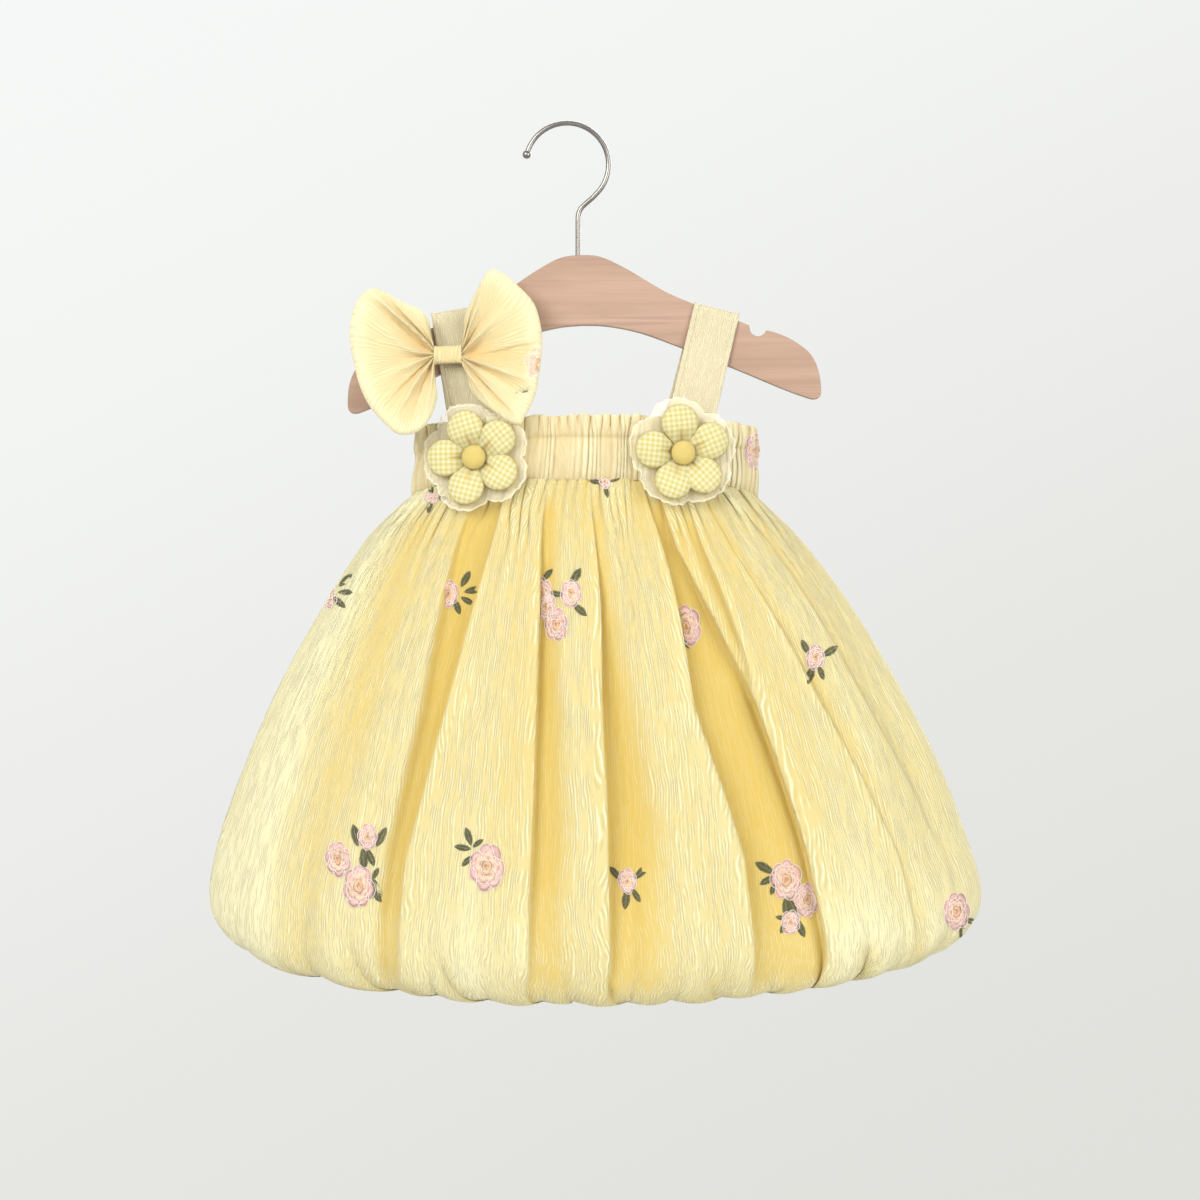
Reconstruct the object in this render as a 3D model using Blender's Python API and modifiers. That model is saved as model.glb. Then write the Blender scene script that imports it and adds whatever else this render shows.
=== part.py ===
"""A toddler's bubble-hem sundress, hung by its shoulder straps on a small wooden hanger.

Sizes here are in millimetres and become metres where points are made. X runs to the viewer's right,
-Y to the front of the dress and Z up. The origin is the inside top of the hanger's hook.
"""
import math
from collections import namedtuple

import bmesh
import bpy
from mathutils import Matrix, Vector

MM = 0.001
SEAM_GAP = 0.3
PANEL_HALF_GAP = 0.27
PART_NAME = "bubble_sundress"
FRONT = -1
BACK = 1

# Cloth walls
SKIRT_WALL = 1.3
BAND_WALL = 1.6
LINING_WALL = 1.0
STRAP_WALL = 1.4
ORGANZA_WALL = 1.0
BOW_WALL = 1.0

# Gathers: two columns of points make one gather, so each half of the dress has 36
PANEL_COLUMNS = 72
LINING_COLUMNS = 24
GATHER_HEIGHT = 1.0
END_FLATNESS = 0.03
SIDE_FADE = 0.05

# One row for each ring of the skirt, from the waist seam down, round the rolled hem and up inside.
# Heights are at the side seam and at the middle; folds, gathers and puffs are shares of full depth.
Section = namedtuple("Section", "side_z mid_z centre half front back folds gathers puffs")
SKIRT = [
    Section(-236.4, -224.9, 11.0, 109.5, 22.0, 19.0, 0.00, 0.9, 0.0),
    Section(-244.0, -236.0, 10.2, 118.5, 26.5, 23.0, 0.20, 0.8, 0.0),
    Section(-263.7, -263.0, 10.5, 138.5, 37.0, 31.0, 0.55, 0.4, 0.0),
    Section(-301.9, -306.0, 12.8, 165.6, 51.0, 39.0, 0.90, 0.1, 0.0),
    Section(-352.9, -364.0, 14.0, 195.6, 62.0, 46.0, 1.00, 0.0, 0.0),
    Section(-403.9, -424.0, 15.9, 219.8, 69.0, 52.0, 1.00, 0.0, 0.1),
    Section(-450.0, -480.0, 16.4, 236.5, 74.0, 56.0, 0.90, 0.0, 0.4),
    Section(-488.0, -525.0, 18.0, 245.5, 75.0, 57.0, 0.60, 0.0, 1.0),
    Section(-504.0, -547.0, 17.6, 241.5, 69.0, 52.0, 0.35, 0.0, 1.0),
    Section(-511.0, -555.0, 16.8, 228.0, 58.0, 43.0, 0.15, 0.0, 0.8),
    Section(-505.0, -548.0, 16.2, 215.0, 49.0, 36.0, 0.05, 0.0, 0.4),
    Section(-493.0, -535.0, 15.8, 206.0, 44.0, 32.0, 0.00, 0.0, 0.0),
]
LINING = [
    Section(-238.5, -226.5, 11.0, 105.4, 18.4, 15.4, 0.0, 0.0, 0.0),
    Section(-285.0, -285.0, 12.0, 131.0, 19.2, 16.8, 0.0, 0.0, 0.0),
    Section(-360.0, -370.0, 13.5, 162.0, 27.0, 22.0, 0.0, 0.0, 0.0),
    Section(-430.0, -455.0, 15.0, 186.0, 35.5, 27.0, 0.0, 0.0, 0.0),
    Section(-492.6, -534.6, 15.8, 205.8, 43.8, 31.8, 0.0, 0.0, 0.0),
]
# Here the last three columns are not folds: gathers is the height of the ruffle's waves
BAND = [
    Section(-194.5, -185.4, 12.3, 109.0, 24.2, 21.2, 0.0, 1.6, 0.0),
    Section(-205.0, -194.0, 12.3, 110.0, 23.8, 20.8, 0.0, 1.4, 0.0),
    Section(-213.0, -201.3, 12.3, 109.0, 22.2, 19.2, 0.0, 0.9, 0.0),
    Section(-225.0, -213.0, 11.8, 110.5, 23.6, 20.6, 0.0, 1.1, 0.0),
    Section(-236.0, -224.5, 11.0, 109.5, 22.0, 19.0, 0.0, 0.9, 0.0),
]

# Folds are troughs: their two edges as shares of the half-width at three heights, their depth, and
# how far each edge takes to fall, as a share of the half-width
Fold = namedtuple("Fold", "high_l high_r mid_l mid_r low_l low_r depth fall_l fall_r")
FOLD_HEIGHTS = (-270.0, -366.0, -461.0)
FRONT_FOLDS = [
    Fold(-0.95, -0.76, -0.90, -0.68, -0.86, -0.68, 6.0, 0.12, 0.10),
    Fold(-0.58, -0.43, -0.56, -0.42, -0.54, -0.45, 16.0, 0.05, 0.06),
    Fold(-0.22, -0.13, -0.20, -0.07, -0.18, -0.07, 16.0, 0.05, 0.05),
    Fold(0.03, 0.21, 0.01, 0.19, 0.015, 0.18, 22.0, 0.05, 0.08),
    Fold(0.36, 0.47, 0.34, 0.57, 0.40, 0.61, 22.0, 0.06, 0.05),
    Fold(0.53, 0.60, 0.57, 0.62, 0.61, 0.64, 6.0, 0.03, 0.03),
    Fold(0.67, 0.75, 0.68, 0.76, 0.72, 0.78, 6.0, 0.04, 0.05),
    Fold(0.82, 0.90, 0.84, 0.92, 0.88, 0.94, 4.0, 0.05, 0.05),
]
BACK_FOLDS = [
    Fold(-0.86, -0.72, -0.84, -0.70, -0.82, -0.70, 7.0, 0.06, 0.07),
    Fold(-0.60, -0.48, -0.56, -0.44, -0.54, -0.42, 14.0, 0.04, 0.06),
    Fold(-0.30, -0.20, -0.28, -0.15, -0.27, -0.13, 12.0, 0.04, 0.04),
    Fold(-0.06, 0.08, -0.05, 0.11, -0.03, 0.10, 15.0, 0.06, 0.03),
    Fold(0.26, 0.35, 0.25, 0.38, 0.25, 0.36, 12.0, 0.03, 0.06),
    Fold(0.50, 0.62, 0.51, 0.64, 0.54, 0.66, 14.0, 0.05, 0.03),
    Fold(0.76, 0.87, 0.76, 0.86, 0.78, 0.86, 6.0, 0.05, 0.05),
]

# Where the hem is tucked up to the lining, as shares of the half-width
FRONT_TUCKS = (-1.0, -0.90, -0.80, -0.69, -0.55, -0.44, -0.33, -0.17, -0.07, 0.11, 0.22, 0.42, 0.61,
               0.69, 0.79, 0.87, 1.0)
BACK_TUCKS = (-1.0, -0.88, -0.77, -0.62, -0.50, -0.36, -0.21, -0.09, 0.05, 0.19, 0.30, 0.46, 0.59,
              0.73, 0.86, 1.0)
PUFF_BULGE = 3.0
PUFF_DROP = 4.0

# Hanger
WIRE_R = 1.6
HOOK_R = 26.4
HOOK_TIP_ANGLE = 166.0
HOOK_END_ANGLE = -38.0
HOOK_STEPS = 22
HOOK_TIP_BALL_R = 2.7
STEM_X = 7.0
STEM_DEPTH = 24.0
STEM_HOLE_ABOVE = 12.0
# How the wire bends from the end of its arc back over the stem
Bend = namedtuple("Bend", "x down")
HOOK_NECK = [Bend(16.6, 45.6), Bend(12.0, 49.6), Bend(9.0, 52.6), Bend(7.4, 56.0), Bend(STEM_X, 60.0)]
BOARD_TOP = (8.3, -82.8)
BOARD_TILT = 1.8
BOARD_THICKNESS = 12.0
BOARD_EDGE = 1.6
NOTCH_R = 5.4
NOTCH_ANGLES = (200.0, 235.0, 270.0, 305.0, 340.0)
# Half of the board's outline, out from its middle and down from its top
Outline = namedtuple("Outline", "out down")
BOARD_UPPER = [
    Outline(0.0, 0.0), Outline(8.0, 0.5), Outline(15.0, 2.3), Outline(22.9, 6.2), Outline(33.1, 12.1),
    Outline(52.8, 24.6), Outline(71.4, 33.4), Outline(106.0, 47.8),
]
NOTCH_CENTRE = Outline(111.6, 49.7)
BOARD_LOWER = [
    Outline(117.0, 51.6), Outline(123.3, 53.4), Outline(133.3, 58.3), Outline(143.3, 66.2),
    Outline(148.4, 75.5), Outline(150.3, 86.0), Outline(150.0, 94.0), Outline(146.0, 96.0),
    Outline(139.8, 94.3), Outline(125.9, 88.7), Outline(105.2, 79.2), Outline(84.0, 69.8),
    Outline(62.5, 60.6), Outline(36.6, 50.3), Outline(15.0, 45.4), Outline(0.0, 44.4),
]

# Straps: the middle of the front leg low in the band and where it crosses the board
STRAP_WIDTH = 29.4
STRAP_REST = 0.5
STRAP_LEG_CLEARANCE = 0.5
STRAP_COLUMNS = 2
STRAP_BELOW_BAND_FACE = 4.1
Strap = namedtuple("Strap", "name foot_x foot_z top_x back_foot_shift")
STRAPS = [
    Strap("strap_left", -58.0, -204.0, -72.0, 2.5),
    Strap("strap_right", 75.0, -204.0, 95.6, -2.5),
]
# Stations up one leg of a strap, as shares of its height: how closely it hugs the band there
LegStation = namedtuple("LegStation", "rise hug")
STRAP_LEG = [
    LegStation(0.0, 1.0), LegStation(0.14, 0.98), LegStation(0.30, 0.80), LegStation(0.52, 0.40),
    LegStation(0.74, 0.08),
]
# Stations over the board: in from the leg's outer face, and down from the strap's highest line
TopStation = namedtuple("TopStation", "inward fall")
STRAP_TOP = [
    TopStation(0.0, 12.0), TopStation(0.0, 3.0), TopStation(0.5, 1.1), TopStation(1.6, 0.2),
    TopStation(4.4, 0.0),
]

# Flowers
Flower = namedtuple("Flower", "name x z petal_angles")
FLOWERS = [
    Flower("flower_left", -56.7, -212.1, (108.0, 38.0, -30.0, 256.0, 181.0)),
    Flower("flower_right", 72.0, -209.3, (96.0, 23.0, -48.0, 249.0, 174.0)),
]
PETAL_FROM = 5.5
PETAL_TO = 29.0
PETAL_WIDTH = 20.6
PETAL_HEIGHT = 9.0
PETAL_SEAT = 0.9
PETAL_NARROW = 0.5
UNDERLAY_R = 35.0
UNDERLAY_SCALLOP = 4.0
UNDERLAY_LOBES = 5
UNDERLAY_RINGS = 3
UNDERLAY_COLUMNS = 30
UNDERLAY_CURL = 1.2
UNDERLAY_WAVES = 10
UNDERLAY_STANDOFF = 4.0
SKIRT_LIFT = 0.30
SKIRT_LIFT_FROM = 6.0
# A covered button from its crown round its edge to its shank
Turn = namedtuple("Turn", "radius height")
BUTTON_PROFILE = [
    Turn(0.0, 11.4), Turn(4.6, 10.6), Turn(7.2, 8.8), Turn(8.0, 6.9), Turn(7.4, 5.9), Turn(3.0, 5.7),
    Turn(3.0, 0.9), Turn(0.0, 0.9),
]
BUTTON_STEPS = 14

# Bow: the reach of each loop's outer fold from the side of the knot, by the angle of its pleat
Reach = namedtuple("Reach", "angle mm")
LEFT_REACH = [
    Reach(100, 22), Reach(108, 29), Reach(122, 39), Reach(132, 55), Reach(140, 58.5), Reach(154, 57),
    Reach(182, 50.8), Reach(200, 50.2), Reach(218, 51.6), Reach(234, 53), Reach(247, 55),
    Reach(260, 49), Reach(268, 38), Reach(274, 27),
]
RIGHT_REACH = [
    Reach(84, 24), Reach(79, 34), Reach(75, 45), Reach(71, 56), Reach(62, 57), Reach(52, 55.8),
    Reach(35, 55.6), Reach(19, 52.9), Reach(0, 50.6), Reach(-15, 50.7), Reach(-29, 53.3),
    Reach(-43, 56), Reach(-51, 57.5), Reach(-60, 42), Reach(-68, 31), Reach(-74, 24),
]
KNOT_X = -75.2
KNOT_Y = -14.05
KNOT_Z = -146.8
KNOT_WIDTH = 17.0
KNOT_TALL = 12.0
KNOT_DEEP = 9.0
KNOT_EDGE = 2.6
BOW_LEAN = 8.0
BOW_SWEEP = 12.0
BOW_COLUMNS = 20
BOW_PLEATS = 5
BOW_PLEAT_HEIGHT = 1.5
BOW_HALF_DEPTH = 6.6
BOW_PINCH = 10.5
BOW_CLEAR_OF_KNOT = 0.45
BOW_END_DEPTH = 0.55
BOW_FULL_REACH = 50.0
# One loop seen from its end: how far out and how far from its middle plane the cloth runs
Loop = namedtuple("Loop", "out depth pleat")
BOW_LOOP = [
    Loop(0.0, 0.46, 0.0), Loop(0.28, 0.80, 0.2), Loop(0.58, 1.0, 1.0), Loop(0.86, 0.75, 0.8),
    Loop(1.0, 0.0, 0.4), Loop(0.86, -0.75, 0.8), Loop(0.58, -1.0, 1.0), Loop(0.28, -0.80, 0.2),
    Loop(0.0, -0.46, 0.0),
]

Finish = namedtuple("Finish", "red green blue roughness metallic")
FINISHES = {
    "chiffon": Finish(0.90, 0.78, 0.38, 0.75, 0.0),
    "lining": Finish(0.90, 0.68, 0.24, 0.80, 0.0),
    "strap_cotton": Finish(0.86, 0.80, 0.46, 0.90, 0.0),
    "gingham": Finish(0.88, 0.78, 0.30, 0.85, 0.0),
    "button_fabric": Finish(0.85, 0.62, 0.08, 0.75, 0.0),
    "organza": Finish(0.92, 0.82, 0.50, 0.50, 0.0),
    "wood": Finish(0.52, 0.30, 0.20, 0.55, 0.0),
    "steel": Finish(0.58, 0.56, 0.52, 0.30, 1.0),
}


def material(slot):
    """The finish of a slot, made the first time it is asked for."""
    if slot in bpy.data.materials:
        return bpy.data.materials[slot]
    finish = FINISHES[slot]
    made = bpy.data.materials.new(slot)
    made.use_nodes = True
    shader = made.node_tree.nodes["Principled BSDF"]
    shader.inputs["Base Color"].default_value = (finish.red, finish.green, finish.blue, 1.0)
    shader.inputs["Roughness"].default_value = finish.roughness
    shader.inputs["Metallic"].default_value = finish.metallic
    return made


def ease(share):
    """A smooth rise from 0 to 1."""
    share = min(1.0, max(0.0, share))
    return share * share * (3.0 - 2.0 * share)


def between(value, stops, results):
    """A result read off a line through stops, which rise."""
    if value <= stops[0]:
        return results[0]
    for i in range(1, len(stops)):
        if value <= stops[i]:
            share = (value - stops[i - 1]) / (stops[i] - stops[i - 1])
            return results[i - 1] + share * (results[i] - results[i - 1])
    return results[-1]


def adopt(obj, name, slot, collection):
    """Give a new object its name, its finish and its place in the part's collection."""
    obj.name = name
    obj.data.name = name
    obj.data.materials.clear()
    obj.data.materials.append(material(slot))
    for held_by in list(obj.users_collection):
        held_by.objects.unlink(obj)
    collection.objects.link(obj)
    return obj


def cloth_wall(name, slot, columns, rows, place, thickness, collection):
    """A grid of cloth, each point put where place(column, row) says, thickened inwards."""
    bpy.ops.mesh.primitive_grid_add(x_subdivisions=columns, y_subdivisions=rows, size=2.0)
    obj = adopt(bpy.context.object, name, slot, collection)
    for vertex in obj.data.vertices:
        column = round((vertex.co.x + 1.0) / 2.0 * columns)
        row = round((1.0 - vertex.co.y) / 2.0 * rows)
        vertex.co = Vector(place(column, row)) * MM
    wall = obj.modifiers.new("Wall", "SOLIDIFY")
    wall.thickness = thickness * MM
    wall.offset = -1.0
    obj.data.shade_smooth()
    return obj


def column_angle(column, side, columns=PANEL_COLUMNS):
    """The angle round the body of one of a panel's columns, which lie evenly across its width."""
    across = 2.0 * column / columns - 1.0
    blunt = math.asin(1.0 - END_FLATNESS)
    angle = math.asin((1.0 - END_FLATNESS) * across) + (math.pi / 2.0 - blunt) * across ** 9
    return -angle * side


def unevenness(number):
    """A steady share from 0.7 to 1.3 that differs from one gather to the next."""
    return 1.0 + 0.3 * math.sin(number * 2.4 + 1.3 * math.sin(number * 0.7))


def ring_height(section, angle, columns=PANEL_COLUMNS):
    """The height of a ring at an angle, level over the last column so that the seam is straight."""
    level = math.cos(column_angle(1, FRONT, columns))
    share = max(0.0, math.cos(angle) - level) / (1.0 - level)
    return section.side_z + (section.mid_z - section.side_z) * share


def ring_point(section, angle, side, outward, lower=0.0, columns=PANEL_COLUMNS):
    """A point of a ring at an angle from the middle of the front or back, moved out by a distance."""
    depth = section.front if side == FRONT else section.back
    out_x = depth * math.sin(angle)
    out_y = section.half * math.cos(angle)
    length = math.hypot(out_x, out_y)
    # the ring's ends are flat over the last column, which lets two panels meet face to face
    tip = abs(math.sin(column_angle(1, FRONT, columns)))
    across = min(1.0, max(-1.0, math.sin(angle) / tip))
    x = section.centre + section.half * across + outward * out_x / length
    y = side * (depth * math.cos(angle) + outward * out_y / length + PANEL_HALF_GAP)
    return x, y, ring_height(section, angle, columns) - lower


def side_fade(angle):
    """Nothing at a side seam, rising to 1 a little way in."""
    tip = abs(math.sin(column_angle(1, FRONT)))
    return ease((tip - abs(math.sin(angle))) / SIDE_FADE)


def fold_depth(folds, across, height):
    """How far the troughs take the cloth in at a place across the panel."""
    depth = 0.0
    levels = tuple(-z for z in FOLD_HEIGHTS)
    for fold in folds:
        left = between(-height, levels, (fold.high_l, fold.mid_l, fold.low_l))
        right = between(-height, levels, (fold.high_r, fold.mid_r, fold.low_r))
        share = ease((across - left) / fold.fall_l) * ease((right - across) / fold.fall_r)
        depth += fold.depth * share
    return depth


def puff(tucks, across):
    """How full the hem is between two tucks, from -1 at a tuck to 1 midway."""
    for left, right in zip(tucks, tucks[1:]):
        if across <= right:
            share = (across - left) / (right - left)
            return 2.0 * math.sin(math.pi * min(1.0, max(0.0, share))) - 1.0
    return -1.0


def skirt_place(side):
    """Where the points of the front or back skirt panel go."""
    folds = FRONT_FOLDS if side == FRONT else BACK_FOLDS
    tucks = FRONT_TUCKS if side == FRONT else BACK_TUCKS

    def place(column, row):
        section = SKIRT[row]
        angle = column_angle(column, side)
        across = math.sin(angle)
        height = ring_height(section, angle)
        fade = side_fade(angle)
        gather = GATHER_HEIGHT * unevenness(column // 2) * (1 if column % 2 else -1)
        fullness = puff(tucks, across) * section.puffs
        outward = gather * section.gathers * fade
        outward -= fold_depth(folds, across, height) * section.folds * fade
        outward += PUFF_BULGE * fullness * fade
        return ring_point(section, angle, side, outward, PUFF_DROP * (fullness - section.puffs) * -0.5)

    return place


def lining_place(side):
    """Where the points of the front or back lining go."""
    def place(column, row):
        angle = column_angle(column, side, LINING_COLUMNS)
        return ring_point(LINING[row], angle, side, 0.0, 0.0, LINING_COLUMNS)

    return place


def band_point(column, row, side, outward=0.0):
    """A point of the waistband's gathered wall."""
    section = BAND[row]
    angle = column_angle(column, side)
    wave = section.gathers * unevenness(column // 2) * (1 if column % 2 else -1)
    return ring_point(section, angle, side, wave * side_fade(angle) + outward)


def build_panels(collection):
    """Skirt, lining and waistband, front and back."""
    for side, end in ((FRONT, "front"), (BACK, "back")):
        cloth_wall("skirt_" + end, "chiffon", PANEL_COLUMNS, len(SKIRT) - 1, skirt_place(side),
                   SKIRT_WALL, collection)
        cloth_wall("lining_" + end, "lining", LINING_COLUMNS, len(LINING) - 1, lining_place(side),
                   LINING_WALL, collection)
        cloth_wall("band_" + end, "chiffon", PANEL_COLUMNS, len(BAND) - 1,
                   lambda column, row, side=side: band_point(column, row, side),
                   BAND_WALL, collection)


def board_outline():
    """The hanger board's whole outline, clockwise from its top, in its own untilted frame."""
    notch = []
    for angle in NOTCH_ANGLES:
        turn = math.radians(angle)
        notch.append(Outline(NOTCH_CENTRE.out + NOTCH_R * math.cos(turn),
                             NOTCH_CENTRE.down - NOTCH_R * math.sin(turn)))
    half = BOARD_UPPER + notch + BOARD_LOWER
    right = [(point.out, -point.down) for point in half]
    left = [(-x, z) for x, z in reversed(right[1:-1])]
    return right + left


def board_top_height(x):
    """The height of the board's upper edge above a place along it, with the tilt taken in."""
    tilt = math.radians(BOARD_TILT)
    outs = [point.out for point in BOARD_UPPER]
    downs = [point.down for point in BOARD_UPPER]
    out, down = x - BOARD_TOP[0], 0.0
    for _ in range(4):
        out = (x - BOARD_TOP[0] - down * math.sin(tilt)) / math.cos(tilt)
        down = between(abs(out), outs, downs)
    return BOARD_TOP[1] - down * math.cos(tilt) + out * math.sin(tilt)


def mesh_from_curve(obj, name, slot, collection):
    """Turn a curve object into a welded mesh object in the same place."""
    evaluated = obj.evaluated_get(bpy.context.evaluated_depsgraph_get())
    mesh = bpy.data.meshes.new_from_object(evaluated)
    welded = bmesh.new()
    welded.from_mesh(mesh)
    bmesh.ops.remove_doubles(welded, verts=welded.verts, dist=0.00001)
    welded.to_mesh(mesh)
    welded.free()
    made = bpy.data.objects.new(name, mesh)
    made.matrix_world = obj.matrix_world.copy()
    bpy.context.scene.collection.objects.link(made)
    bpy.data.objects.remove(obj)
    return adopt(made, name, slot, collection)


def cutter(obj, name, collection):
    """Keep an object only as a tool for Booleans."""
    for held_by in list(obj.users_collection):
        held_by.objects.unlink(obj)
    collection.objects.link(obj)
    obj.name = name
    obj.hide_render = True
    obj.display_type = "WIRE"
    return obj


def build_board(collection, cutters):
    """The flat wooden board with rounded edges and the hole that takes the hook's stem."""
    curve = bpy.data.curves.new("board_outline", "CURVE")
    curve.dimensions = "2D"
    curve.fill_mode = "BOTH"
    curve.extrude = BOARD_THICKNESS / 2.0 * MM
    points = board_outline()
    spline = curve.splines.new("POLY")
    spline.points.add(len(points) - 1)
    for target, (x, z) in zip(spline.points, points):
        target.co = (x * MM, z * MM, 0.0, 1.0)
    spline.use_cyclic_u = True
    outline = bpy.data.objects.new("board_outline", curve)
    bpy.context.scene.collection.objects.link(outline)
    upright = Matrix.Rotation(math.radians(90.0), 4, "X")
    tilt = Matrix.Rotation(math.radians(-BOARD_TILT), 4, "Y")
    place = Matrix.Translation(Vector((BOARD_TOP[0], 0.0, BOARD_TOP[1])) * MM)
    outline.matrix_world = place @ tilt @ upright
    bpy.context.view_layer.update()
    board = mesh_from_curve(outline, "hanger_board", "wood", collection)

    edges = board.modifiers.new("Rounded edges", "BEVEL")
    edges.width = BOARD_EDGE * MM
    edges.segments = 2
    edges.limit_method = "ANGLE"
    edges.angle_limit = math.radians(60.0)

    hole_length = STEM_DEPTH + STEM_HOLE_ABOVE
    hole_middle = board_top_height(STEM_X) + hole_length / 2.0 - STEM_DEPTH - SEAM_GAP
    bpy.ops.mesh.primitive_cylinder_add(vertices=16, radius=(WIRE_R + SEAM_GAP) * MM,
                                        depth=hole_length * MM,
                                        location=(STEM_X * MM, 0.0, hole_middle * MM))
    hole = cutter(bpy.context.object, "stem_hole_cutter", cutters)
    drill = board.modifiers.new("Stem hole", "BOOLEAN")
    drill.operation = "DIFFERENCE"
    drill.object = hole


def hook_route():
    """The hook's centre line, from its tip over the top and down the stem."""
    centre_z = -HOOK_R + WIRE_R
    route = []
    for step in range(HOOK_STEPS + 1):
        turn = math.radians(HOOK_TIP_ANGLE + (HOOK_END_ANGLE - HOOK_TIP_ANGLE) * step / HOOK_STEPS)
        route.append((HOOK_R * math.cos(turn), centre_z + HOOK_R * math.sin(turn)))
    route += [(bend.x, -bend.down) for bend in HOOK_NECK]
    route.append((STEM_X, board_top_height(STEM_X) - STEM_DEPTH))
    return route


def build_hook(collection, cutters):
    """The wire hook, with a ball at its tip, down into the board."""
    curve = bpy.data.curves.new("hook_wire", "CURVE")
    curve.dimensions = "3D"
    curve.bevel_depth = WIRE_R * MM
    curve.bevel_resolution = 1
    curve.use_fill_caps = True
    route = hook_route()
    spline = curve.splines.new("POLY")
    spline.points.add(len(route) - 1)
    for target, (x, z) in zip(spline.points, route):
        target.co = (x * MM, 0.0, z * MM, 1.0)
    wire = bpy.data.objects.new("hook_wire", curve)
    bpy.context.scene.collection.objects.link(wire)
    bpy.context.view_layer.update()
    hook = mesh_from_curve(wire, "hanger_hook", "steel", collection)
    hook.data.shade_smooth()
    hook.data.set_sharp_from_angle(angle=math.radians(40.0))

    tip_x, tip_z = route[0]
    bpy.ops.mesh.primitive_uv_sphere_add(segments=12, ring_count=7, radius=HOOK_TIP_BALL_R * MM,
                                         location=(tip_x * MM, 0.0, tip_z * MM))
    ball = cutter(bpy.context.object, "hook_ball_shape", cutters)
    join = hook.modifiers.new("Tip ball", "BOOLEAN")
    join.operation = "UNION"
    join.object = ball


def band_depth(x, side):
    """How far in front of or behind the middle the waistband's outer face lies."""
    section = BAND[1]
    depth = section.front if side == FRONT else section.back
    across = min(1.0, abs(x - section.centre) / section.half)
    return depth * math.sqrt(1.0 - across * across)


def strap_stations(strap):
    """Stations along a strap's outer face: middle, direction across, side and hug of the band."""
    guess_top = board_top_height(strap.top_x)
    along = Vector((strap.top_x - strap.foot_x, 0.0, guess_top - strap.foot_z)).normalized()
    across = Vector((along.z, 0.0, -along.x))

    # the strap crosses the board square to its own length, so it rests on the board's higher side
    rise = 0.0
    for share in (-1.0, -0.5, 0.0, 0.5, 1.0):
        offset = across * (STRAP_WIDTH / 2.0 * share)
        rise = max(rise, board_top_height(strap.top_x + offset.x) - guess_top - offset.z)
    top = guess_top + rise + STRAP_REST + STRAP_WALL
    tall = top - strap.foot_z
    leg_depth = BOARD_THICKNESS / 2.0 + STRAP_LEG_CLEARANCE + STRAP_WALL

    legs = {}
    for side in (FRONT, BACK):
        foot_x = strap.foot_x + (strap.back_foot_shift if side == BACK else 0.0)
        rises = [(station.rise, leg_depth, station.hug) for station in STRAP_LEG]
        rises += [(1.0 - station.fall / tall, leg_depth - station.inward, 0.0) for station in STRAP_TOP]
        legs[side] = []
        for share, depth, hug in rises:
            x = foot_x + (strap.top_x - foot_x) * share
            middle = Vector((x, side * depth, strap.foot_z + tall * share))
            legs[side].append((middle, across, side, hug))
    return legs[FRONT] + list(reversed(legs[BACK]))


def build_straps(collection):
    """Two shoulder straps, each over the board from the front band to the back band."""
    for strap in STRAPS:
        stations = strap_stations(strap)

        def place(column, row, stations=stations):
            middle, across, side, hug = stations[len(stations) - 1 - row]
            point = middle + across * (STRAP_WIDTH / 2.0 * (2.0 * column / STRAP_COLUMNS - 1.0))
            hugged = side * (band_depth(point.x, side) - STRAP_BELOW_BAND_FACE)
            point.y += (hugged - point.y) * hug
            return point

        cloth_wall(strap.name, "strap_cotton", STRAP_COLUMNS, len(stations) - 1, place, STRAP_WALL,
                   collection)


def flower_frame(flower):
    """The place and the directions of a flower: along the band, up, and out from the band."""
    section = BAND[3]
    sine = (flower.x - section.centre) / section.half
    angle = math.asin(sine)
    out = Vector((section.front * math.sin(angle), -section.half * math.cos(angle), 0.0)).normalized()
    along = Vector((-out.y, out.x, 0.0))
    on_band = Vector((flower.x, -section.front * math.cos(angle), flower.z))
    return on_band + out * UNDERLAY_STANDOFF, along, out


def flower_point(flower, along_mm, up_mm, height):
    """A point of a flower, lifted below its middle so that it lies on the swelling skirt."""
    origin, along, out = flower_frame(flower)
    lift = SKIRT_LIFT * max(0.0, -up_mm - SKIRT_LIFT_FROM)
    return origin + along * along_mm + Vector((0.0, 0.0, up_mm)) + out * (height + lift)


def build_underlay(flower, collection):
    """The five-lobed scalloped organza under the petals, opened out flat from half a sphere."""
    bpy.ops.mesh.primitive_uv_sphere_add(segments=UNDERLAY_COLUMNS, ring_count=2 * UNDERLAY_RINGS,
                                         radius=1.0)
    obj = adopt(bpy.context.object, flower.name + "_underlay", "organza", collection)
    disc = bmesh.new()
    disc.from_mesh(obj.data)
    lower = [vertex for vertex in disc.verts if vertex.co.z < -0.01]
    bmesh.ops.delete(disc, geom=lower, context="VERTS")
    for vertex in disc.verts:
        share = math.acos(min(1.0, max(0.0, vertex.co.z))) / (math.pi / 2.0)
        angle = math.atan2(vertex.co.y, vertex.co.x)
        from_lobe = angle - math.radians(flower.petal_angles[0])
        lobe = abs(math.cos(UNDERLAY_LOBES / 2.0 * from_lobe))
        reach = (UNDERLAY_R - UNDERLAY_SCALLOP * (1.0 - lobe)) * share
        curl = UNDERLAY_CURL * share ** 2 * (1.0 + math.cos(UNDERLAY_WAVES * angle)) / 2.0
        place = flower_point(flower, reach * math.cos(angle), reach * math.sin(angle), curl)
        vertex.co = place * MM
    disc.to_mesh(obj.data)
    disc.free()
    wall = obj.modifiers.new("Wall", "SOLIDIFY")
    wall.thickness = ORGANZA_WALL * MM
    wall.offset = -1.0


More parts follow.
